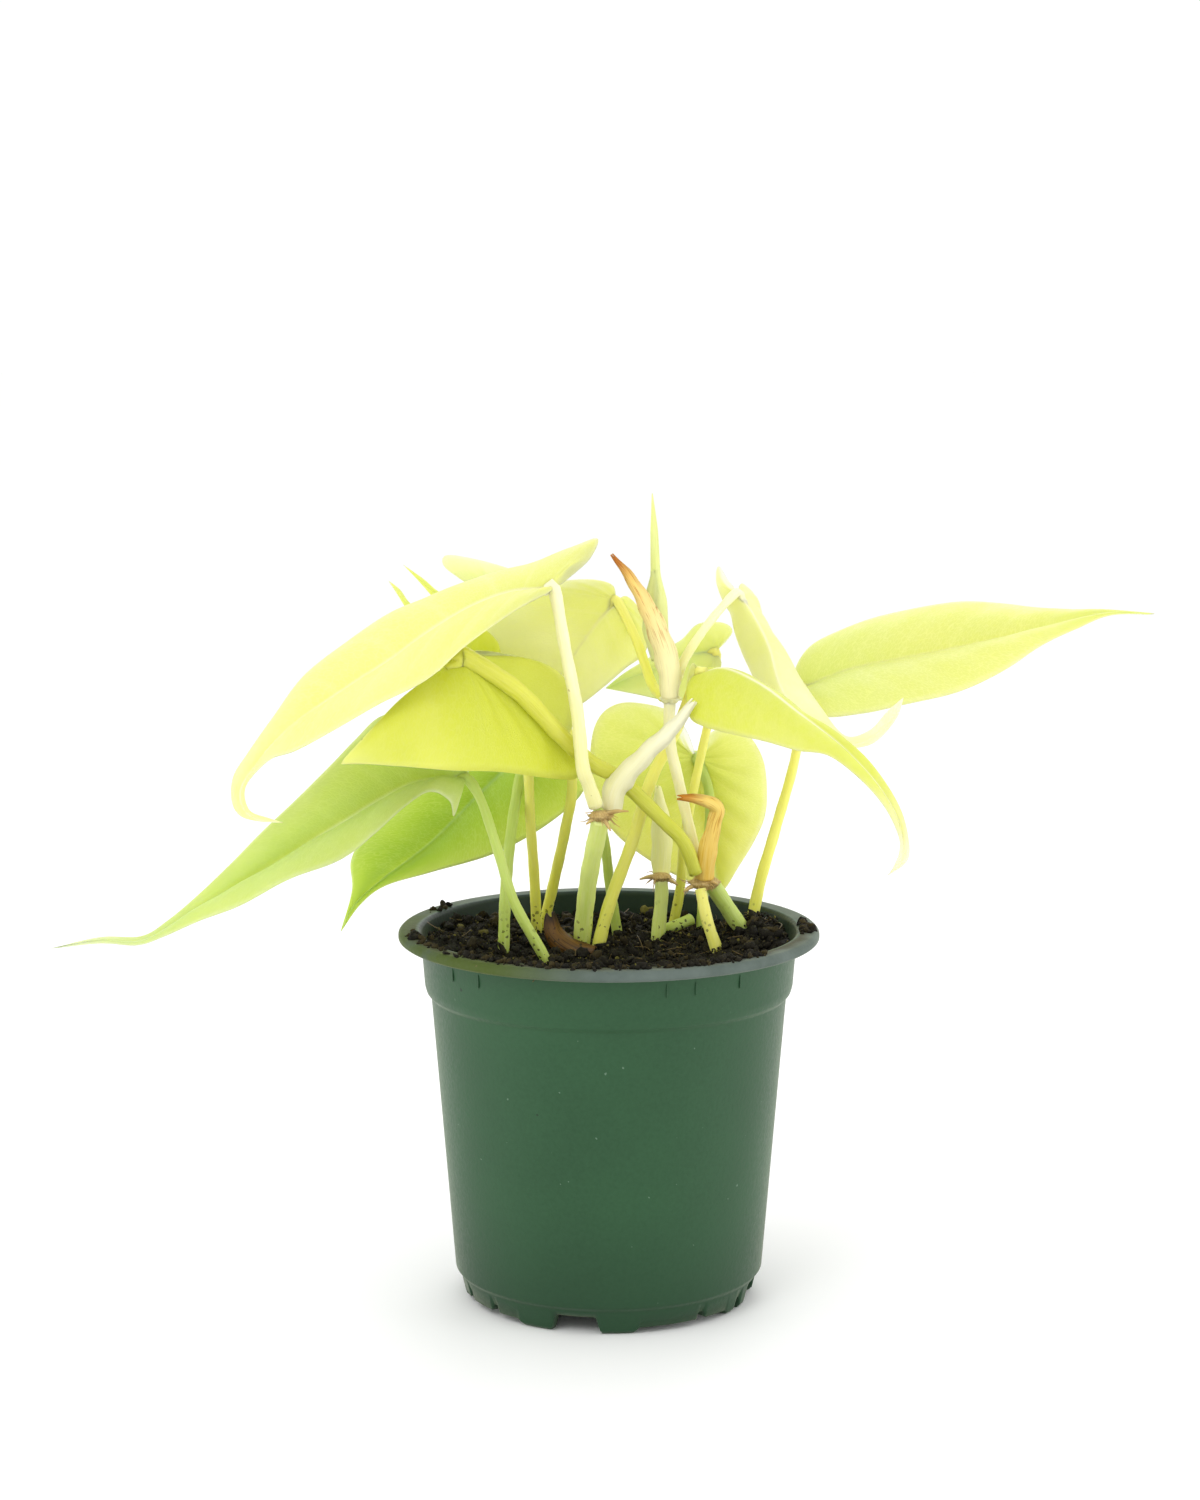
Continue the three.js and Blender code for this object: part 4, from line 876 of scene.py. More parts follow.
# %% Blades on the left
BLADES = {
    "long_left": {
        "arch": [1.5, 2.5], "ruffle": 0.5, "waves": 2.2, "skin": (BUTTER, {"midrib": 0.9}),
        "spine": [[-14.5, -15, 195], [-25.5, -18, 194.5], [-36, -22, 191], [-46.5, -26, 185],
            [-56.5, -30, 178], [-67, -33, 171.5], [-77, -36, 165], [-84.5, -38, 159], [-90.5, -39, 152],
            [-94.5, -40, 146], [-94, -40, 141], [-90.5, -40, 138], [-83.5, -40, 137]],
        "first": [[-16.5, -20, 194], [-27, -33, 189], [-37, -41, 183], [-46.5, -45, 175],
            [-57.5, -48, 169], [-68, -49, 163], [-79.5, -46, 157], [-86, -43, 154.5], [-90, -41, 151],
            [-93, -40, 147], [-93.5, -40, 143.5], [-92, -40, 140], [-88, -40, 138.5]],
        "second": [[-11, -10, 197], [-5, -2, 202], [-3, 3, 207], [-9.5, 6, 204.5], [-21, 4, 199.5],
            [-34.5, -1, 196], [-47.5, -6, 191.5], [-58, -11, 188], [-69, -18, 181.5], [-79.5, -24, 173.5],
            [-87, -31, 163], [-93, -36, 154.5], [-96.5, -39, 149], [-97, -40, 143], [-95, -40, 139],
            [-90.5, -40, 137.5]],
    },
    "gold_middle": {
        "arch": [2, 2], "ruffle": 0.4, "waves": 2, "skin": (BUTTER, {"body": "F3F3AC", "base": "E4E78C"}),
        "spine": [[2, 14, 189], [-4, 12.5, 182], [-9, 12, 175], [-14.5, 12, 167], [-19.5, 12, 160],
            [-22.5, 11.5, 155]],
        "first": [[5, 15, 190], [9, 16, 185.5], [11, 16, 179], [9.5, 15, 174], [4.5, 13, 170.5],
            [-1.5, 12, 165.5], [-8, 12, 160.5], [-15.5, 11.5, 157]],
        "second": [[1, 16, 193], [-5, 17, 194.5], [-13.5, 17, 194], [-22, 16, 192], [-29.5, 15, 187.5],
            [-35.5, 13.5, 180.5], [-37.5, 12.5, 174.5], [-35, 12, 167], [-29.5, 11.5, 160.5]],
    },
    "front": {
        "arch": [2.5, 3], "ruffle": 0.6, "waves": 1.7, "skin": (LIME, {}),
        "spine": [[-38, -28, 178.5], [-45.5, -34, 174.5], [-53.5, -40, 169], [-61.5, -46, 161],
            [-68, -51, 154]],
        "first": [[-33.5, -22.5, 174.5], [-24.5, -16.5, 166.5], [-15.5, -11, 157.5], [-9, -6.5, 150.5],
            [-6.5, -6, 146.5], [-9, -9, 143.5], [-17, -19, 145.5], [-28.5, -32, 149], [-40.5, -43, 151],
            [-53, -51, 153.5], [-61.5, -53, 154.5]],
        "second": [[-33.5, -21, 178], [-25, -12, 177], [-17, -5, 174], [-11.5, 0, 168.5], [-9.5, 3, 161.5],
            [-10.5, 2, 154.5], [-16.5, -2, 151.5], [-29, -12, 153], [-41.5, -24, 156], [-52.5, -38, 157],
            [-61, -47, 156]],
    },
    "back_lobe": {
        "arch": [2, 2], "ruffle": 0.4, "waves": 2,
        "skin": (BUTTER, {"base": "D8E0A0", "body": "DCE4A6", "tip": "E0E6B0", "cloud": "D2DC94"}),
        "spine": [[-28, 28, 189.5], [-20, 30, 187.5], [-12, 32, 184.5], [-5, 33, 180], [0, 33, 174]],
        "first": [[-32, 26, 192], [-39, 24, 193.5], [-45, 22, 197.5], [-44.5, 22, 200.5],
            [-37.5, 23, 199.5], [-30, 25, 197.5], [-21.5, 27, 194.5], [-13, 30, 191.5], [-5, 32, 187.5],
            [-0.5, 33, 181]],
        "second": [[-31, 27, 187], [-35, 27, 181.5], [-34, 27, 174.5], [-27.5, 28, 169], [-17.5, 29, 167],
            [-8, 31, 168.5], [-2.5, 32, 171]],
    },
    "hidden_upper": {
        "arch": [1, 1], "ruffle": 0.3, "waves": 2, "skin": (LIME, {"body": "C6D07C", "tip": "C4CE80"}),
        "spine": [[-30, 20, 173.5], [-38, 20, 181.5], [-45.5, 19, 189], [-51, 18, 194], [-56, 17, 198.5]],
        "first": [[-32.5, 19, 170], [-37.5, 19, 171.5], [-42, 18.5, 177], [-45, 18.5, 183.5],
            [-47.5, 18.5, 188.5], [-51.5, 18, 193.5]],
        "second": [[-27, 22, 174], [-26, 23, 179], [-30, 22, 185.5], [-37, 20.5, 188],
            [-42.5, 19.5, 189.5], [-46.5, 18.5, 191], [-50.5, 18, 194.5]],
    },
    "hidden_lower": {
        "arch": [1, 1], "ruffle": 0.3, "waves": 2, "skin": (LIME, {"body": "C8D288", "tip": "CAD490"}),
        "spine": [[-32, 6, 171.5], [-41.5, 5, 178], [-49.5, 4, 184.5], [-54.5, 3, 190], [-59, 2, 195.5]],
        "first": [[-35.5, 5, 167.5], [-41.5, 4, 168], [-47.5, 4, 173.5], [-51.5, 3.5, 180],
            [-53.5, 3, 186], [-56.5, 2.5, 191.5]],
        "second": [[-29.5, 6.5, 173.5], [-30, 7, 178.5], [-35.5, 6.5, 183.5], [-42, 5.5, 186],
            [-48, 4.5, 187], [-53, 3.5, 189], [-56, 3, 193]],
    },
    "green_left": {
        "arch": [2, 2], "ruffle": 0.5, "waves": 2.5, "skin": (LEAFY, {"midrib": 1.0, "tip": "C4CCAE"}),
        "spine": [[-38, -12, 144.5], [-52.5, -16, 143], [-70.5, -22, 133.5], [-88.5, -28, 123],
            [-106.5, -34, 113.5], [-120.5, -37, 105.5], [-132, -37, 105.5], [-145.5, -35, 103]],
        "first": [[-39, -15, 140.5], [-41, -19, 135], [-42, -21, 139.5], [-47, -24, 142.5],
            [-53.5, -29, 139.5], [-60.5, -34, 134], [-66.5, -37, 129], [-72, -40, 126], [-82, -43, 122.5],
            [-94, -43, 116.5], [-105.5, -41, 112], [-115.5, -39, 107], [-122.5, -38, 104.5],
            [-132, -38, 105]],
        "second": [[-37, -7, 147.5], [-39.5, -4, 152], [-45, -4, 157.5], [-53, -5, 161], [-61, -7, 160],
            [-67.5, -10, 154], [-73.5, -14, 148], [-81.5, -18, 140.5], [-91, -23, 132], [-99, -27, 124],
            [-107.5, -31, 116], [-115, -34, 110], [-121.5, -36, 106.5], [-132, -37, 106.5]],
    },
    "green_low": {
        "arch": [2, 2], "ruffle": 0.5, "waves": 2.3,
        "skin": (LEAFY, {"body": "90B040", "base": "A4C052", "tip": "98B448", "cloud": "86A83C",
            "midrib": 0.3, "veins": 0.06}),
        "spine": [[-22.5, 19, 147.5], [-34, 21, 136.5], [-49, 16, 122], [-62, 8, 113], [-69.5, 4, 106.5],
            [-73, 2, 99.5]],
        "first": [[-17.5, 21, 147], [-10.5, 23, 143], [-6.5, 24, 138], [-9, 22, 132.5], [-19, 19, 125],
            [-32.5, 15, 118.5], [-49, 11, 114.5], [-61, 7, 111.5], [-67.5, 4, 107]],
        "second": [[-20.5, 22, 150.5], [-24.5, 25, 152.5], [-33, 28, 151.5], [-44, 27, 146],
            [-57.5, 20, 134.5], [-67, 14, 124], [-70.5, 9, 118], [-70, 5, 110.5]],
    },
}
print("blades listed:", len(BLADES))

# %% Blades on the right
BLADES |= {
    "folded_right": {
        "arch": [1.5, 1.5], "ruffle": 0.4, "waves": 2,
        "skin": (BUTTER, {"body": "F7F7B8", "base": "EAECA4", "tip": "F4F0CC", "midrib": 0.9}),
        "spine": [[34.5, 6, 192], [38.5, 6, 186.5], [43, 5, 177.5], [46.5, 3, 166], [54, 1, 157],
            [63.5, 0, 151.5], [70.5, -1, 153.5], [76, -1, 159], [79, -1, 164.5]],
        "first": [[36, 9, 194], [40, 14, 189], [42.5, 17, 181.5], [45.5, 18, 176.5], [51, 16, 169.5],
            [57, 11, 160.5], [62, 5, 154.5], [65.5, 1, 153.5], [70.5, -1, 156], [74.5, -1, 160.5]],
        "second": [[32, 8, 195], [29.5, 11, 198.5], [29, 14, 194], [31, 16, 188.5], [33, 17, 185],
            [34.5, 18, 179.5], [37.5, 17, 172.5], [42.5, 13, 163.5], [49, 8, 156.5], [57, 3, 152],
            [63.5, 0, 150.5], [71, -1, 152], [77, -1, 158.5]],
    },
    "drooping_right": {
        "arch": [2, 2], "ruffle": 0.5, "waves": 2,
        "skin": (LIME, {"body": "CAD25E", "base": "C2CC40", "tip": "E6DECA", "midrib": 0.9,
            "rib": "EAE8C8"}),
        "spine": [[24, -3, 171], [30.5, -10, 173.5], [40, -18, 170], [49.5, -26, 163.5], [59.5, -30, 156],
            [68, -32, 147.5], [74, -32, 138.5], [76.5, -31, 130.5], [76, -30, 125], [72.5, -29, 121]],
        "first": [[26, 0, 172], [32, 0, 170.5], [38, -4, 167], [45.5, -11, 162], [53.5, -19, 157],
            [62, -25, 155], [69.5, -29, 148.5], [75.5, -31, 139.5], [78, -31, 130.5], [77.5, -30, 125]],
        "second": [[22, -5, 174], [20.5, -8, 167.5], [21, -13, 161], [25, -18, 159], [33, -24, 157.5],
            [40.5, -30, 156.5], [48.5, -35, 155], [56.5, -36, 154], [64.5, -35, 148], [71, -34, 140.5],
            [75, -32, 132.5], [75.5, -31, 128], [74, -30, 123.5]],
    },
    "hanging_back": {
        "arch": [3, 2], "ruffle": 0.6, "waves": 2,
        "skin": (BUTTER, {"body": "D8DA84", "base": "C4D27C", "tip": "D4DA8C", "midrib": 0.3}),
        "spine": [[24.5, 34, 143], [26.5, 40, 130], [29, 42, 116.5], [31, 42, 108], [32, 40, 103]],
        "first": [[27, 33, 149], [32.5, 31, 152], [38.5, 30, 150], [43, 31, 142.5], [44.5, 34, 133],
            [44, 36, 125.5], [41, 38, 118], [36.5, 40, 110], [34, 40.5, 105.5]],
        "second": [[22, 33, 150], [17.5, 31, 155.5], [11, 30, 158], [3, 30, 158.5], [-2.5, 30, 155],
            [-5, 31, 147], [-4.5, 34, 134], [1, 38, 121.5], [12, 41, 112], [24.5, 41, 105.5]],
    },
    "far_right": {
        "arch": [2, 2], "ruffle": 0.6, "waves": 2.4,
        "skin": (BUTTER, {"body": "CCCE7C", "base": "C2CC7C", "tip": "C0CA74", "cloud": "BCC668",
            "midrib": 0.25, "veins": 0.05}),
        "spine": [[52.5, 30, 162.5], [67, 32, 168], [84, 32, 171.5], [100, 30, 175], [113.5, 27, 178.5],
            [126.5, 23, 182.5], [137.5, 20, 185], [149, 17, 185]],
        "first": [[51.5, 34, 166], [55.5, 40, 172], [63, 44, 176.5], [76.5, 48, 181.5], [96.5, 48, 184.5],
            [110, 44, 185], [120.5, 37, 185], [129, 29, 185], [137.5, 22, 185.5]],
        "second": [[53, 24, 158.5], [58.5, 18, 157], [67, 14, 158], [76.5, 12, 159.5], [92.5, 11, 163.5],
            [106.5, 13, 170], [117.5, 16, 176], [127.5, 18, 180.5], [137, 18.5, 184.5]],
    },
    "small_back": {
        "arch": [1, 1], "ruffle": 0.4, "waves": 2,
        "skin": (LEAFY, {"body": "CCD69A", "base": "D8DC8C", "tip": "AAC48C", "cloud": "B8CC84",
            "midrib": 0.4}),
        "spine": [[29.5, 23, 174], [22.5, 24, 173], [13, 25, 169], [4.5, 25, 166], [-1, 25, 163.5]],
        "first": [[31, 22, 170.5], [28.5, 21.5, 165], [22.5, 22, 161], [15.5, 23, 160.5], [7.5, 24, 162]],
        "second": [[32.5, 23, 177], [34, 23, 180], [31, 23, 182], [24.5, 24, 181.5], [20, 25, 177],
            [14.5, 25.5, 174], [9.5, 25.5, 171], [4, 25.5, 167.5]],
    },
}
print("blades listed:", len(BLADES))

# %% Make the blades
for name, blade in BLADES.items():
    family, changes = blade["skin"]
    shape = blade_mesh(blade)
    skin = leaf_material("leaf_skin_" + name, {**family, **changes})
    stand_for(make_piece("blade_" + name, shape, skin), "leaf_" + name)

# %% [markdown]
# ## Stalks, canes and vine pieces
# Every leaf stands on its own fleshy stalk, and a few thicker pieces of vine rise from the soil. Each
# is round with a shallow groove, swells a little where the leaf sits, and tapers into the midrib
# below the blade. Blender's bevelled curves would give even tubes; rings set along a path also take
# the groove, the swelling and the small unevenness of something grown. The points run from the
# foot up, in millimetres, with the radius at the foot and at the top. A petiole carries the blade
# that has its name, and a stalk whose first point is near the soil gets a foot that goes into it.

# %% Points of the stalks
STALKS = {
    "petiole_long_left": {
        "path": [[-3.5, -13.5, 137], [-5.5, -16, 143.5], [-7, -18, 148.5], [-8.5, -18.5, 163.5],
            [-11.5, -17, 179], [-14.5, -15, 195]],
        "radius": [1.9, 1.4], "skin": "cream",
    },
    "petiole_gold_middle": {
        "path": [[14.5, -1, 164.5], [11.5, 5, 167.5], [7.5, 9, 178.5], [2, 14, 189]],
        "radius": [1.4, 1.2], "skin": "stem",
    },
    "petiole_front": {
        "path": [[23.5, -1, 116.5], [20, -3, 125.5], [13.5, -4, 132.5], [3, -6.5, 143], [-5, -11, 148.5],
            [-13, -16, 156.5], [-24.5, -23, 169.5], [-38, -28, 178.5]],
        "radius": [1.9, 2.6], "skin": "lime",
    },
    "petiole_back_lobe": {
        "path": [[-18.5, 26, 94.5], [-15, 22, 110.5], [-12, 17.5, 125], [-10, 17, 139],
            [-12.5, 18.5, 158.5], [-18.5, 21.5, 176], [-28, 28, 189.5]],
        "radius": [1.6, 1.3], "skin": "stem",
    },
    "petiole_hidden_upper": {
        "path": [[-20, 22, 94.5], [-20.5, 18, 111], [-21.5, 12.5, 129], [-22, 12, 142], [-24, 13, 152],
            [-26.5, 15.5, 161.5], [-30, 20, 173.5]],
        "radius": [1.5, 1.2], "skin": "stem",
    },
    "petiole_hidden_lower": {
        "path": [[2.5, 21.5, 94.5], [0.5, 20, 108], [-1.5, 14, 124.5], [-5, 8, 139], [-11, 8, 151.5],
            [-20, 8, 162], [-32, 6, 171.5]],
        "radius": [1.5, 1.2], "skin": "green",
    },
    "petiole_green_left": {
        "path": [[-16.5, -14, 94.5], [-25, -16, 111], [-29.5, -16, 125.5], [-34, -13, 138.5],
            [-38, -12, 144.5]],
        "radius": [1.6, 1.2], "skin": "green",
    },
    "petiole_green_low": {
        "path": [[-28.5, -3.5, 94.5], [-28, -3, 109.5], [-27.5, 0, 117], [-26.5, 7, 127],
            [-24.5, 16, 139.5], [-22.5, 19, 147.5]],
        "radius": [1.6, 1.4], "skin": "green",
    },
    "petiole_hanging_back": {
        "path": [[26, 26, 94.5], [26.5, 28, 106.5], [28, 30, 120.5], [28, 31, 134], [24.5, 34, 143]],
        "radius": [1.5, 1.3], "skin": "green",
    },
    "petiole_small_back": {
        "path": [[18, 30, 94.5], [20, 28, 106.5], [21, 26, 121], [23, 24.5, 132.5], [25.5, 25, 144.5],
            [28.5, 25.5, 159], [29, 25.5, 166.5], [29.5, 23, 174]],
        "radius": [1.5, 1.1], "skin": "stem",
    },
    "petiole_folded_right": {
        "path": [[17, -3, 166], [20, 0, 174], [25, 0, 182], [30.5, 3, 188.5], [34.5, 6, 192]],
        "radius": [1.4, 1], "skin": "cream",
    },
    "petiole_drooping_right": {
        "path": [[-3, 3, 94.5], [0.5, 2, 108.5], [6.5, 2.5, 125], [11.5, 3.5, 141.5], [18, 4, 154.5],
            [24, -3, 171]],
        "radius": [1.8, 1.4], "skin": "stem",
    },
    "petiole_far_right": {
        "path": [[39, 19, 95.5], [42, 19, 111], [46, 21, 124.5], [52, 26, 146], [52.5, 30, 162.5]],
        "radius": [1.8, 1.2], "skin": "stem",
    },
    "cane_left": {
        "path": [[-7.5, 5.5, 94.5], [-5.5, -3, 115], [-2.2, -12.5, 133.5]],
        "radius": [2.5, 2.5], "skin": "cane",
    },
    "cane_middle": {
        "path": [[13.5, 13.5, 94.5], [14.5, 12, 106.5], [14.5, 11, 112.5]],
        "radius": [2.1, 1.9], "skin": "cane",
    },
    "vine_pale_root": {
        "path": [[29.5, -3.5, 94.5], [26.5, -2.5, 104], [24.8, 0, 112]],
        "radius": [1.7, 1.5], "skin": "stem",
    },
    "vine_lower_joint": {
        "path": [[39, 10.5, 94.5], [33.5, 8, 103.5], [28, 4.5, 112.5]],
        "radius": [2.3, 2.3], "skin": "green",
    },
    "vine_upper_joint": {
        "path": [[26, 3, 113.5], [22.5, 2, 125.5], [19, 0, 140.5], [16.3, -3, 153], [16.2, -4.5, 164]],
        "radius": [1.5, 1.6], "skin": "cream",
    },
}
print("stalks:", len(STALKS))

# %% Shape of one stalk
STALK_SPOTS = 20
STALK_PITCH = 1.2
FOOT_DEPTH, FOOT_LEAN = 8.0, 0.3
JOINT_LENGTH, JOINT_SWELLING = 6.0, 0.2
GROOVE_DEPTH, GROOVE_WIDTH = 0.1, 0.4
SEATS = ((2.5, 0.75), (JOINT_LENGTH, 0.55))


def seat_points(blade):
    """Where a stalk runs on under its blade, just below the midrib."""
    spine = Path(blade["spine"])
    up = blade_strips(blade)["up"][0]
    return [spine.at(reach / spine.length) - drop * up for reach, drop in SEATS]


def rings_along(path, shares, across, angles, first_side):
    """Closed rings along a path, with a radius for each ring and angle, and the fields to keep."""
    side, other = frames_along(path, shares, np.array(first_side))
    along = np.broadcast_to((shares * path.length)[:, None], across.shape)
    east, north = across * np.cos(angles), across * np.sin(angles)
    points = path.at(shares)[:, None] + east[..., None] * side[:, None] + north[..., None] * other[:, None]
    place = np.stack([east, north, along], axis=-1).reshape(-1, 3)
    fields = {"stalk_place": place, "stalk_share": np.repeat(shares, across.shape[1])}
    return points.reshape(-1, 3), ring_faces(*across.shape), fields


def stalk_mesh(points, radii, blade=None, in_soil=False, spots=STALK_SPOTS, turn=0.0):
    """A round stalk along the points, closed at both ends, with a foot in the soil if it has one."""
    points = [np.array(point, float) for point in points]
    if in_soil:
        run = unit(points[0] - points[1])
        points.insert(0, points[0] + FOOT_DEPTH * np.array([FOOT_LEAN * run[0], FOOT_LEAN * run[1], -1.0]))
    if blade:
        points += seat_points(blade)
    path = Path(points)
    shares = np.linspace(0, 1, max(7, int(path.length / STALK_PITCH)))
    shares = np.concatenate([shares[:1], shares, shares[-1:]])
    along = shares * path.length
    radius = radii[0] + (radii[1] - radii[0]) * shares
    radius *= 1 + 0.03 * np.sin(0.7 * along + turn) + 0.015 * np.sin(2.1 * along + 2 * turn)
    if blade:
        left = path.length - along
        radius *= 0.35 + 0.65 * smooth_step(left, 0.0, JOINT_LENGTH)
        radius *= 1 + JOINT_SWELLING * np.exp(-(((left - 1.3 * JOINT_LENGTH) / 3.0) ** 2))
    radius[[0, -1]] = 0.0
    angles = np.linspace(0, 2 * math.pi, spots, endpoint=False)
    off = np.abs((angles - 1.3 - turn + math.pi) % (2 * math.pi) - math.pi)
    outline = 1 + 0.03 * np.cos(2 * angles + turn) - GROOVE_DEPTH * np.exp(-((off / GROOVE_WIDTH) ** 2))
    return rings_along(path, shares, radius[:, None] * outline, angles, [1.0, 0.2, 0.05])


print("rings every", STALK_PITCH, "mm")

# %% [markdown]
# ## Stalk skin
# The skin is waxy and slightly see-through, cream or lime, with fine pale lines running along it.
# The fibre group reads each point's own place in the stalk, so its streaks follow every bend. Near
# the foot, bits of potting mix stick to it, which a mask from the height and the specks group adds.

# %% Stalk material
SOIL_TOUCH, SOIL_CLEAR = 0.0965, 0.109
STALK_GLOW, STALK_DEPTH = (1.0, 0.95, 0.75), 0.0024


def stalk_material(name, low, high, streak, through=0.9, contrast=0.35, tip=None):
    """Fleshy skin from two tones, with streaks along it and soil specks near the foot."""
    material, tree, shader = new_material(name)
    place = place_in(tree)
    share = own_value(tree, "stalk_share")
    grain = use_group(tree, fibres, {
        "Place": own_value(tree, "stalk_place", "Vector"), "Across": 2.4, "Along": 0.09, "Contrast": 2.4,
    })["Streak"]
    skin = blended(tree, ranged(tree, share, 0.05, 0.9), colour(low), colour(high))
    skin = painted(tree, clouded(tree, place, 95.0, 1.8), 0.3, skin, low)
    skin = painted(tree, grain, contrast, skin, streak)
    if tip:
        ends = ranged(tree, sums(tree, "ADD", share, scaled(tree, grain, 0.18)), 0.84, 1.1)
        lines = ranged(tree, grain, 0.42, 0.2)
        for mask, reach in ((ends, 1.0), (lines, ranged(tree, share, 0.2, 0.6, 0.1, 0.7))):
            skin = painted(tree, mask, reach, skin, tip)
    skin = painted(tree, speckled(tree, place, 330.0, 0.08, 0.12), 0.45, skin, "8C7A3C")
    height = add(tree, "SeparateXYZ", {"Vector": place}).outputs["Z"]
    foot = ranged(tree, height, SOIL_CLEAR, SOIL_TOUCH)
    bits = speckled(tree, place, 800.0, 0.42, 0.34)
    skin = painted(tree, scaled(tree, foot, bits), 0.9, skin, "1E1A11")
    feed(tree, shader.inputs["Base Color"], skin)
    feed(tree, shader.inputs["Roughness"], sums(tree, "ADD", 0.36, scaled(tree, grain, 0.18)))
    set_shader(shader, {"IOR": 1.42, "Specular IOR Level": 0.4})
    let_light_through(shader, through, STALK_GLOW, STALK_DEPTH)
    roughened(tree, shader, grain, 0.00012, 0.6)
    return material


STALK_SKINS = {
    "cream": stalk_material("stalk_cream", "EAE6A0", "F4EEC2", "F9F5D8"),
    "stem": stalk_material("stalk_olive", "E4E45C", "ECE67E", "F3EFA4"),
    "lime": stalk_material("stalk_lime", "C4C83E", "D4D44C", "E2E080"),
    "green": stalk_material("stalk_green", "B8CA58", "BED26A", "D8E4A0"),
    "cane": stalk_material("stalk_cane", "D6E66A", "DCE882", "EEF2B8"),
}
print("stalk skins:", len(STALK_SKINS))

# %% Make the stalks
SOIL_TOP = 96.0
for turn, (name, stalk) in enumerate(STALKS.items()):
    blade = BLADES.get(name.removeprefix("petiole_"))
    in_soil = stalk["path"][0][2] < SOIL_TOP
    shape = stalk_mesh(stalk["path"], stalk["radius"], blade, in_soil, turn=1.7 * turn)
    stand_for(make_piece("fine_" + name, shape, STALK_SKINS[stalk["skin"]]), name)

# %% [markdown]
# ## Joints of the vine
# Where a stalk leaves the vine there is a swollen brown ring, the scar of an old sheath, with stubs
# of air roots and thin dried fibres. The topmost joint is still fresh: cream, without any roots.
# The ring is a squashed ball with a ridge round its middle and a scalloped outline. Stubs and
# fibres are small stalks, so the same function makes them.

# %% Make the joints
NODES = {
    "node_left": {"centre": [-2.2, -12.8, 134.2], "size": [3.1, 2.8, 1.5], "roots": [
        [[-0.9, -0.5, -0.3], 4.6], [[0.9, -0.4, 0.35], 8.5], [[0.5, -0.8, -0.5], 5.5]]},
    "node_middle": {"centre": [14.3, 11, 113.2], "size": [2.6, 2.5, 1.3], "roots": [
        [[-1, -0.2, 0.05], 6], [[1, -0.3, -0.3], 5]]},
    "node_right": {"centre": [26, 2.8, 113.2], "size": [3.9, 3.4, 1.9], "roots": [
        [[-0.9, -0.4, -0.2], 6.5], [[0.6, -0.8, 0.2], 5.5], [[-0.2, -0.7, -0.8], 5]]},
    "node_upper": {"centre": [16.3, -4.5, 164.6], "size": [2.6, 2.4, 1.5], "roots": []},
}
RING_SPOTS, RING_LEVELS = 48, 17
FIBRES_PER_NODE = 12
ROOT_RADII, HAIR_RADII = [1.0, 0.22], [0.24, 0.07]
dried_skin = stalk_material("dried_brown", "80602C", "C09C54", "E8D498", through=0.0, contrast=0.6)


def joint_ring(centre, size):
    """A squashed ball with a ridge round its middle and a scalloped outline."""
    tilts = np.linspace(-math.pi / 2, math.pi / 2, RING_LEVELS)[:, None]
    angles = np.linspace(0, 2 * math.pi, RING_SPOTS, endpoint=False)[None]
    scallop = 0.95 + 0.09 * np.sin(7 * angles + 2 * tilts) + 0.06 * np.sin(13 * angles + 1.0 - 3 * tilts)
    ridge = 1 + 0.12 * np.exp(-((tilts / 0.2) ** 2)) - 0.08 * np.exp(-(((np.abs(tilts) - 0.55) / 0.2) ** 2))
    across = np.cos(tilts) ** 0.7 * scallop * ridge
    place = np.stack([
        size[0] * across * np.cos(angles), size[1] * across * np.sin(angles),
        size[2] * np.sin(tilts) * np.ones_like(angles),
    ], axis=-1).reshape(-1, 3)
    share = np.repeat(np.linspace(0.2, 0.8, RING_LEVELS), RING_SPOTS)
    return place + centre, ring_faces(RING_LEVELS, RING_SPOTS), {"stalk_place": place, "stalk_share": share}


rng = np.random.default_rng(41)
for name, node in NODES.items():
    centre = np.array(node["centre"], float)
    fresh = not node["roots"]
    parts = [joint_ring(centre, node["size"])]
    for way, length in node["roots"]:
        run = length * unit(np.array(way, float))
        bend = np.array([0.0, 0.0, -0.12 * length])
        parts.append(stalk_mesh([centre, centre + 0.55 * run, centre + run + bend], ROOT_RADII, spots=12))
    for _ in range(0 if fresh else FIBRES_PER_NODE):
        turn, length = rng.uniform(0, 2 * math.pi), rng.uniform(1.5, 4.0)
        way = np.array([math.cos(turn), math.sin(turn), rng.uniform(-1.2, 0.4)])
        start = centre + way * np.array([0.9, 0.9, 0.5]) * node["size"]
        curl = rng.uniform(-0.5, 0.5, 3)
        steps = [start - way, start + 0.5 * length * unit(way), start + length * unit(way + curl)]
        parts.append(stalk_mesh(steps, HAIR_RADII, spots=6))
    shape = join_parts(parts)
    skin = STALK_SKINS["cream"] if fresh else dried_skin
    stand_for(make_piece("fine_" + name, shape, skin), name)

# %% [markdown]
# ## Sheaths
# Each new leaf comes out of a sheath that first protects it and then dries. Two here are fresh and
# pale, two have dried to a papery yellow with orange-brown tips, and a dark one, the bract, lies
# curled on the soil. A sheath is a thin gutter with fine ribs along it, which narrows to a torn
# tip. Its section is an arc, wider open or nearly closed into a tube. The list gives its points
# from base to tip, the half widths there, the side it faces and its curl.

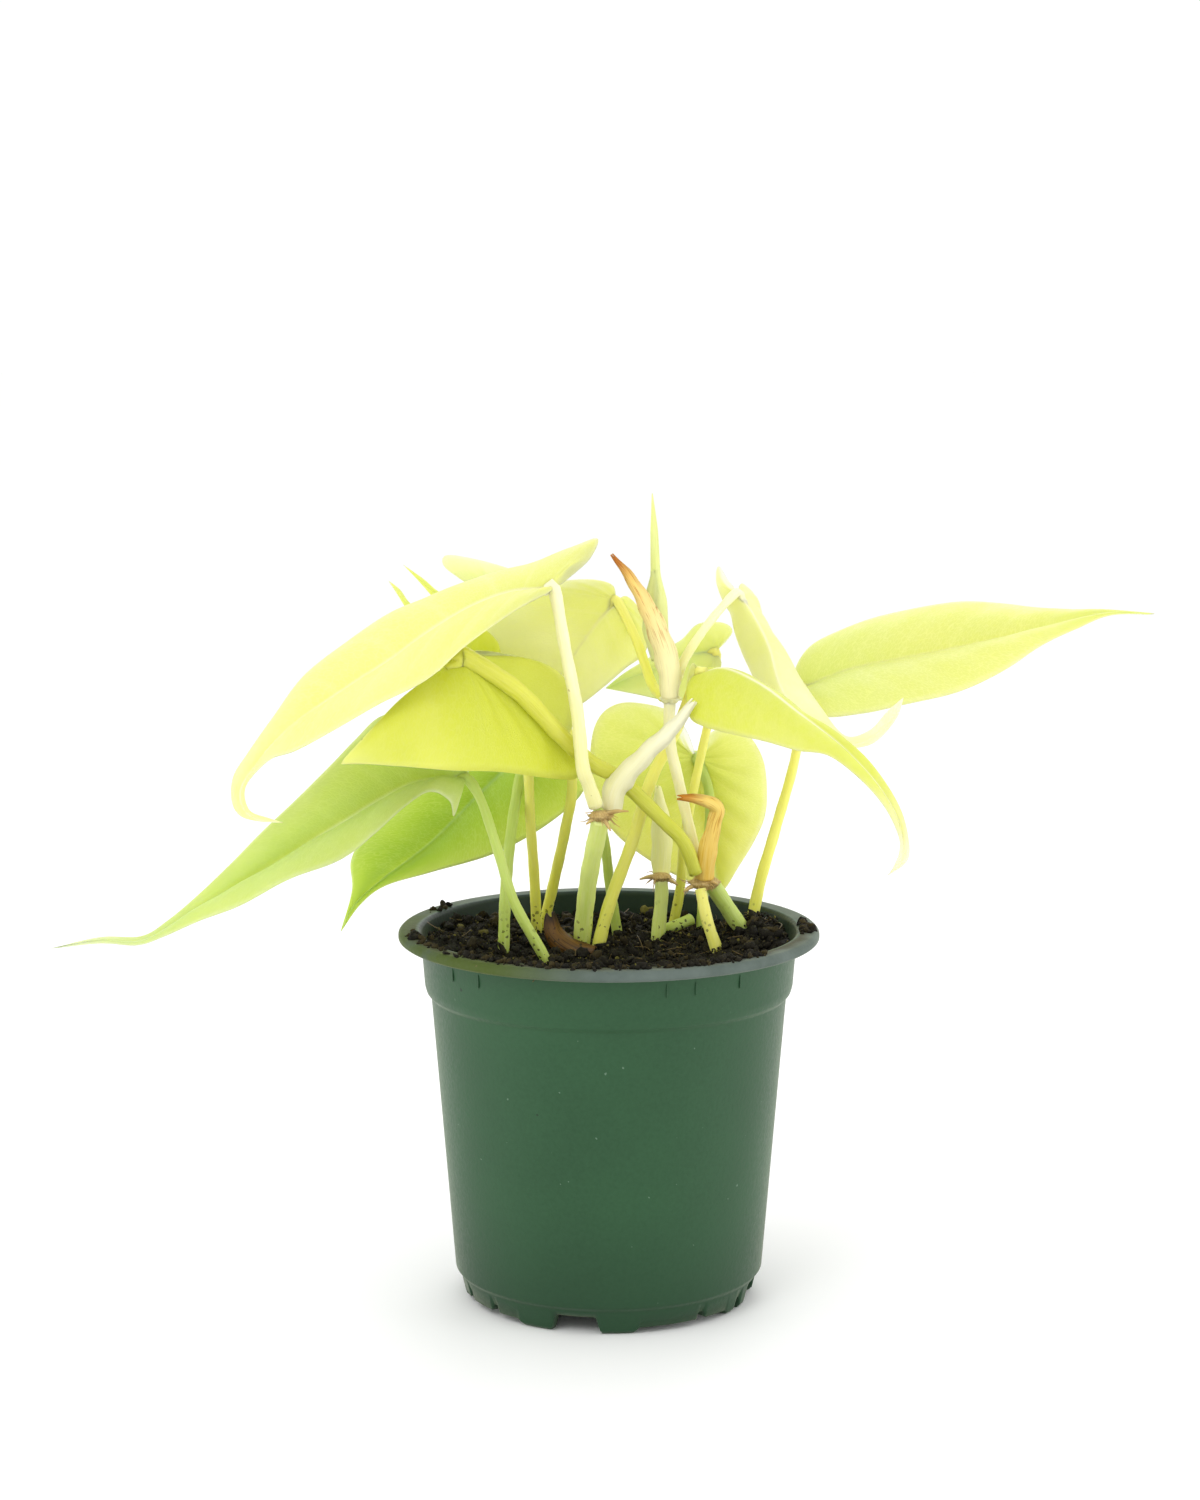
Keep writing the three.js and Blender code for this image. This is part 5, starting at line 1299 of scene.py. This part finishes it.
# %% Points of the sheaths and the curled bract
SHEATHS = {
    "sheath_cream": {
        "face": [0.1, -1, 0.3], "curl": 1.5, "skin": "cream",
        "path": [[0.5, -11, 134.8], [2.5, -12.5, 142.5], [10, -14.5, 151.5], [16.5, -16, 158],
            [22, -16.5, 165]],
        "half_widths": [2.6, 3.3, 2.3, 2.0, 0.9],
    },
    "sheath_pale": {
        "face": [0, -1, 0], "curl": 2.2, "skin": "gold",
        "path": [[14.3, 11, 113.5], [14.5, 11, 119], [14.5, 11, 125], [14, 11, 132], [13.5, 11, 138]],
        "half_widths": [2.2, 2.8, 2.7, 2.0, 0.7],
    },
    "sheath_orange": {
        "face": [0.3, -1, 0.1], "curl": 1.6, "skin": "dried",
        "path": [[26.5, -0.5, 114.2], [27.2, -2.5, 122], [28.6, -3.5, 130], [29.6, -4.5, 134.5],
            [26, -6, 137.2], [19, -8, 138.5]],
        "half_widths": [2.6, 2.7, 2.0, 1.9, 1.5, 0.8],
    },
    "sheath_brown": {
        "face": [0, -1, 0.1], "curl": 1.5, "skin": "papery",
        "path": [[16.3, -7.8, 164.8], [15.5, -8.5, 175], [11.5, -8, 186.5], [6, -7, 196.5], [1, -6.5, 203]],
        "half_widths": [2.2, 3.3, 2.5, 1.5, 0.45],
    },
    "dried_bract": {
        "face": [0.3, -0.9, 0.5], "curl": 1.9, "skin": "bract",
        "path": [[-4, -5, 96.3], [-9, -3.5, 97], [-14, 0, 100], [-15.5, 2.5, 104.5]],
        "half_widths": [1.5, 2.9, 3.0, 1.3],
    },
}
print("sheaths:", len(SHEATHS))

# %% Make the sheaths and the curled bract
SHEATH_COLUMNS, SHEATH_PITCH, SHEATH_THICKNESS = 26, 0.7, 0.42
SHEATH_RIBS, RIB_HEIGHT, TORN = 6.5, 0.14, 1.4
SHEATH_SKINS = {
    "cream": stalk_material("sheath_cream_skin", "EEE9AE", "F6F2CC", "FCFAE4", through=0.15),
    "gold": stalk_material("sheath_gold_skin", "F0F08E", "F8F6B0", "FDFBCE", through=0.15),
    "dried": stalk_material("sheath_dried_skin", "F0C040", "F2CC5A", "FCE8A0", 0.15, 0.45, tip="B86E12"),
    "papery": stalk_material("sheath_papery_skin", "F6F0B8", "EFB636", "FCECA8", 0.15, 0.4, tip="A85C10"),
    "bract": stalk_material("bract_skin", "2A190A", "54340F", "A87A2E", 0.0, 0.4, tip="241406"),
}


def eased_along(points, values, shares):
    """Values given at points, read at shares of the way along them and smoothed."""
    steps = np.linalg.norm(np.diff(np.array(points, float), axis=0), axis=1)
    places = np.concatenate([[0.0], np.cumsum(steps)]) / steps.sum()
    return eased(np.interp(shares, places, values), len(shares))


def sheath_mesh(sheath, seed):
    """A ribbed gutter along a path, with a torn tip."""
    path = Path(sheath["path"])
    shares = np.linspace(0, 1, int(path.length / SHEATH_PITCH))
    widths = eased_along(sheath["path"], sheath["half_widths"], shares)[:, None]
    heading = path.heading(shares)
    side = unit(np.cross(heading, np.array(sheath["face"], float)))[:, None]
    out = np.cross(side[:, 0], heading)[:, None]
    across = np.linspace(-1, 1, SHEATH_COLUMNS)[None]
    along = (shares * path.length)[:, None]
    curl = sheath["curl"] * (1 + 0.12 * np.sin(0.35 * along))
    widths = widths * (1 + 0.07 * np.sin(0.8 * along + 2.0 * across + seed))
    round_radius = widths / math.sin(min(sheath["curl"], math.pi / 2))
    bend = curl * across
    ribs = RIB_HEIGHT * np.cos(2 * math.pi * SHEATH_RIBS * across) * np.minimum(1.0, widths / 1.5)
    ragged = np.random.default_rng(seed).uniform(-TORN, TORN, SHEATH_COLUMNS)
    torn = eased(ragged, SHEATH_COLUMNS)[None] * smooth_step(shares, 0.8, 1.0)[:, None]
    middle = path.at(shares)[:, None] + torn[..., None] * heading[:, None]
    faces = []
    for depth in (ribs, ribs - SHEATH_THICKNESS):
        reach = round_radius + depth
        sideways = (reach * np.sin(bend))[..., None] * side
        faces.append(middle + sideways + (reach * np.cos(bend) - round_radius)[..., None] * out)
    loops = np.concatenate([faces[0], faces[1][:, ::-1]], axis=1)
    arc = np.broadcast_to(round_radius * bend, (len(shares), SHEATH_COLUMNS))
    arc = np.concatenate([arc, arc[:, ::-1]], axis=1)
    spots = 2 * SHEATH_COLUMNS
    place = np.stack([arc, np.zeros_like(arc), np.repeat(along, spots, axis=1)], axis=-1).reshape(-1, 3)
    kept = {"stalk_place": place, "stalk_share": np.repeat(shares, spots)}
    return loops.reshape(-1, 3), ring_faces(len(shares), spots) + flat_ends(len(shares), spots), kept


for seed, (name, sheath) in enumerate(SHEATHS.items()):
    shape = sheath_mesh(sheath, seed + 5)
    stand_for(make_piece("fine_" + name, shape, SHEATH_SKINS[sheath["skin"]]), name)

# %% [markdown]
# ## The rolled new leaf and the cut stub
# The youngest leaf is still rolled round itself into a spear. Its section is a spiral of one turn:
# the radius grows steadily round the section and drops back at the seam, which winds slowly up the
# spear. At its foot a pale flap has begun to open. The cut stub is the cleanly cut end of an old
# stem that lies in the soil.

# %% Make the rolled leaf and the stub
SPEAR_PATH = [[16.2, -2.5, 165.5], [15.5, 1, 169], [13.8, 3, 179], [12.8, 3.5, 190], [12.4, 3.5, 197],
              [12, 3, 209], [11.5, 2, 219]]
SPEAR_RADII = [1.3, 1.6, 3.1, 3.0, 1.4, 1.1, 0.15]
SPEAR_SPOTS, SPEAR_PITCH = 56, 0.6
SEAM_STEP, SEAM_START, SEAM_TURN = 0.24, -1.2, 0.03
FLAP = {"face": [-0.5, -1, 0.1], "curl": 1.2, "half_widths": [1.0, 2.7, 2.4, 0.5],
        "path": [[12.2, 0.6, 174], [10.8, 0.4, 182], [10.8, 0.8, 190], [11.8, 1.6, 198]]}
spear_path = Path(SPEAR_PATH)
shares = np.linspace(0, 1, int(spear_path.length / SPEAR_PITCH))
radius = eased_along(SPEAR_PATH, SPEAR_RADII, shares)[:, None]
radius[[0, -1]] = 0.0
turns = np.linspace(0, 1, SPEAR_SPOTS, endpoint=False)[None]
angles = 2 * math.pi * turns + SEAM_START + SEAM_TURN * (shares * spear_path.length)[:, None]
across = radius * (1 - SEAM_STEP + SEAM_STEP * turns + 0.02 * np.sin(40 * turns))
roll = rings_along(spear_path, shares, across, angles, [1.0, 0.0, 0.0])
spear_skin = stalk_material("spear_skin", "DEE290", "D0D978", "EAEDBC", through=0.2)
shape = join_parts([roll, sheath_mesh(FLAP, 3)])
stand_for(make_piece("fine_rolled_leaf", shape, spear_skin), "leaf_rolled_new")
STUB_PATH, STUB_RADII = [[15.7, 20, 96.4], [19.5, 23, 97.4], [23, 25.5, 98.4]], [1.75, 1.7]
shape = stalk_mesh(STUB_PATH, STUB_RADII)
stand_for(make_piece("fine_cut_stub", shape, STALK_SKINS["green"]), "cut_stub")

# %% [markdown]
# ## Potting mix
# The mix is dark peat and bark, loose and uneven. It is heaped at both sides, lies lower in the
# middle, where there is room for water, and rises again close to the lip in front. One lumpy
# surface gives the ground, and its body fills the pot so that the drain holes look onto soil. What
# makes it read as soil lies on top: about 2,400 crumbs, some of them spilled over the lip, and
# twice as many fine grains, each with a tint of its own, and thin dry fibres. A particle system
# would be quicker to set up, but real meshes stay the same wherever the model is used.

# %% Soil material and heights
SOIL_RADIUS, SOIL_EDGE, SOIL_LEVEL = 51.6, 49.6, 94.6
HEAPS = [((-36, 16), 5.6, 11.0), ((40, 14), 7.0, 10.0), ((44, -8), 5.5, 10.0), ((-44, -6), 5.2, 10.0),
         ((30, -38), 4.0, 8.0), ((-30, -38), 3.0, 8.0), ((2, 30), 1.6, 8.0)]
SWELL_HEIGHT, FRONT_SWELL = 0.96, 1.2
FRONT_START, FRONT_END, FRONT_RISE, LIP_CLEAR = 45.5, 49.5, 3.6, 1.2


def soil_height(x, y):
    """The height of the ground at a place, without its small lumps."""
    out = np.hypot(x, y) / SOIL_RADIUS
    swell = np.sin(0.19 * x + 1.3) * np.cos(0.23 * y - 0.4) + 0.5 * np.sin(0.41 * x - 0.33 * y)
    front = np.maximum(0.0, -y / SOIL_RADIUS) * out
    height = SOIL_LEVEL + SWELL_HEIGHT * swell * (1 - 0.4 * out) + FRONT_SWELL * front * out
    for (east, north), rise, width in HEAPS:
        height = height + rise * np.exp(-((x - east) ** 2 + (y - north) ** 2) / width**2)
    height = height + FRONT_RISE * smooth_step(-y, FRONT_START, FRONT_END)
    return np.minimum(height, POT_HEIGHT + LIP_CLEAR)


material, tree, shader = new_material("potting_mix")
potting_mix = material
place = place_in(tree)
tint = own_value(tree, "tint")
shade = clouded(tree, place, 160.0, 2.2)
fine = clouded(tree, place, 1500.0, 2.4)
earth = blended(tree, shade, colour("100F08"), colour("231F12"))
earth = blended(tree, ranged(tree, tint, 0.35, 0.8), earth, colour("3F3619"))
earth = blended(tree, ranged(tree, tint, 0.85, 1.0), earth, colour("7C7634"))
earth = painted(tree, fine, 0.3, earth, "100C07")
feed(tree, shader.inputs["Base Color"], earth)
feed(tree, shader.inputs["Roughness"], ranged(tree, fine, 0.0, 1.0, 0.7, 0.95))
shader.inputs["Specular IOR Level"].default_value = 0.25
roughened(tree, shader, fine, 0.0003, 0.8)
print("material:", material.name)

# %% Make the ground
SOIL_RINGS, SOIL_SPOTS = 90, 300
LUMPS = [(1.1, 0.28), (0.7, 0.9)]
INSIDE_OUTLINE = [(46.6, 84.0), (40.4, 8.4), (38.5, 6.1), (0.0, 6.1)]
radii = SOIL_EDGE * (np.arange(SOIL_RINGS) / (SOIL_RINGS - 1)) ** 0.8
angles = np.linspace(0, 2 * math.pi, SOIL_SPOTS, endpoint=False)
x = radii[:, None] * np.cos(angles)
y = radii[:, None] * np.sin(angles)
z = soil_height(x, y)
for spot in np.ndindex(z.shape):
    here = Vector((x[spot], y[spot], 3.0))
    z[spot] += sum(height * noise.noise(fineness * here) for height, fineness in LUMPS)
z[0] = z[0, 0]
levels = [np.stack([x, y, z], axis=-1)]
for radius, height in INSIDE_OUTLINE:
    ring = [radius * np.cos(angles), radius * np.sin(angles), np.full(SOIL_SPOTS, height)]
    levels.append(np.stack(ring, axis=-1)[None])
ground = np.concatenate(levels)
tints = rng.uniform(0, 0.35, ground.shape[:2])
shape = (ground.reshape(-1, 3), ring_faces(len(ground), SOIL_SPOTS), {"tint": tints.ravel()})
stand_for(make_piece("soil_bed", shape, potting_mix), "potting_soil")

# %% Make the crumbs
CRUMBS = 1880
CRUMB_SIZES = (0.32, 1.7)
STRETCH, DENT = (0.4, 1.4), 0.34
GOLDEN_CORNER, GOLDEN_SHARE, GOLDEN_ELSEWHERE = (-5, -20), 0.22, 0.025
GOLDEN_TINTS, DARK_TINTS = (0.88, 1.0), 0.8
LIP_SPILLS = [(-46, 2.5, 44), (-55, 2.5, 56), (-64, 2.5, 56), (-73, 2, 30), (-82, 4, 26), (-95, 6, 34),
              (-108, 4, 24), (-120, 3, 40), (-131, 3, 44), (-150, 5, 26), (-165, 3, 30), (-5, 3, 46),
              (4, 2, 20), (152, 3, 14)]
LIP_RADII, SPILL_REACH, SPILL_SIZE, SPILL_GROWTH = (51.7, 53.2), 2.8, 0.25, 0.85


def small_ball(rounds):
    """The points and the faces of a ball with a radius of one."""
    ball = bmesh.new()
    bmesh.ops.create_icosphere(ball, subdivisions=rounds, radius=1.0)
    points = np.array([tuple(point.co) for point in ball.verts])
    faces = [[point.index for point in face.verts] for face in ball.faces]
    ball.free()
    return points, faces


def crumb(ball, where, size, tint):
    """One lump of peat: a ball stretched, turned and dented."""
    points, faces = ball
    stretch = rng.uniform(*STRETCH, 3)
    dents = 1 + rng.uniform(-DENT, DENT, len(points))
    axes = np.linalg.qr(rng.normal(size=(3, 3)))[0]
    shape = (points * dents[:, None] * stretch) @ axes * size
    return where + shape, faces, {"tint": np.full(len(points), tint)}


def scattered(reach):
    """A random place within reach of the pot's axis, with the ground's height there."""
    turn, out = rng.uniform(0, 2 * math.pi), reach * math.sqrt(rng.uniform())
    x, y = out * math.cos(turn), out * math.sin(turn)
    return x, y, float(soil_height(x, y))


lump = small_ball(2)
parts = []
for _ in range(CRUMBS):
    x, y, ground_height = scattered(SOIL_EDGE - 1.2)
    size = CRUMB_SIZES[0] + (CRUMB_SIZES[1] - CRUMB_SIZES[0]) * rng.uniform() ** 3
    z = ground_height + rng.uniform(0.0, 0.9) * size + 0.35
    in_corner = x < GOLDEN_CORNER[0] and y < GOLDEN_CORNER[1]
    golden = (in_corner and rng.uniform() < GOLDEN_SHARE) or rng.uniform() < GOLDEN_ELSEWHERE
    tint = rng.uniform(*GOLDEN_TINTS) if golden else DARK_TINTS * rng.uniform() ** 2
    parts.append(crumb(lump, np.array([x, y, z]), size, tint))
for middle, spread, count in LIP_SPILLS:
    for _ in range(count):
        turn = math.radians(rng.normal(middle, spread))
        out = rng.uniform(*LIP_RADII) + SPILL_REACH * rng.uniform() ** 3
        size = SPILL_SIZE + SPILL_GROWTH * rng.uniform() ** 2
        where = np.array([out * math.cos(turn), out * math.sin(turn), POT_HEIGHT + 0.35 * size])
        parts.append(crumb(lump, where, size, DARK_TINTS * rng.uniform()))
shape = join_parts(parts)
add_to(make_piece("soil_crumbs", shape, potting_mix, merge=0.0))

# %% Make the fine grains
GRAINS = 5200
GRAIN_SIZES, GRAIN_HEIGHTS = (0.16, 0.45), (0.2, 1.5)
coarse_ball = small_ball(1)
parts = []
for _ in range(GRAINS):
    x, y, ground_height = scattered(SOIL_EDGE - 0.4)
    size = rng.uniform(*GRAIN_SIZES)
    where = np.array([x, y, ground_height + rng.uniform(*GRAIN_HEIGHTS)])
    parts.append(crumb(coarse_ball, where, size, rng.uniform() ** 2))
shape = join_parts(parts)
add_to(make_piece("soil_grains", shape, potting_mix, merge=0.0))

# %% Make the dry fibres
FIBRE_COUNT, FIBRE_REACH = 150, 46.0
FIBRE_LENGTHS, FIBRE_RADII, FIBRE_BOW = (2.5, 8.0), (0.09, 0.26), 0.7
parts = []
for _ in range(FIBRE_COUNT):
    x, y, ground_height = scattered(FIBRE_REACH)
    start = np.array([x, y, ground_height + rng.uniform(0.3, 1.2)])
    way = rng.uniform(0, 2 * math.pi)
    length = rng.uniform(*FIBRE_LENGTHS)
    run = length * np.array([math.cos(way), math.sin(way), rng.uniform(-0.05, 0.3)])
    bow = rng.normal(scale=FIBRE_BOW, size=3)
    thick = rng.uniform(*FIBRE_RADII)
    parts.append(stalk_mesh([start, start + 0.5 * run + bow, start + run], [thick, 0.5 * thick], spots=6))
shape = join_parts(parts)
straw_skin = stalk_material("soil_straw", "2E2412", "574522", "7C6838", through=0.0, contrast=0.5)
add_to(make_piece("soil_fibres", shape, straw_skin, merge=0.0))

# %% [markdown]
# ## Ticks under the lip
# The mould left short upright ribs under the lip, which stop stacked pots from jamming. They are
# small, so each is a long rounded bump that stands half out of the collar.

# %% Make the ticks
TICK_PLACES = [-41, -34, 14.8, 22.3, 34]
TICK_SIZE = np.array([0.22, 0.35, 2.0])
TICK_HEIGHT = 94.8
tick_radius = COLLAR_TOP_RADIUS - 0.25
parts = []
for east in TICK_PLACES:
    for front in (-1, 1):
        where = np.array([east, front * math.sqrt(tick_radius**2 - east**2), TICK_HEIGHT])
        parts.append((lump[0] * TICK_SIZE + where, lump[1], {"tint": np.zeros(len(lump[0]))}))
shape = join_parts(parts)
add_to(make_piece("pot_ticks", shape, pot_plastic, merge=0.0))

# %% [markdown]
# ## Size
# The fine model should stay as large as the imported one, so its growth past the imported box is printed.

# %% Print the growth
look_low, look_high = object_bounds()
growth = [*(cad_low - look_low), *(look_high - cad_high)]
print("growth in mm:", [round(1000 * side, 2) for side in growth])
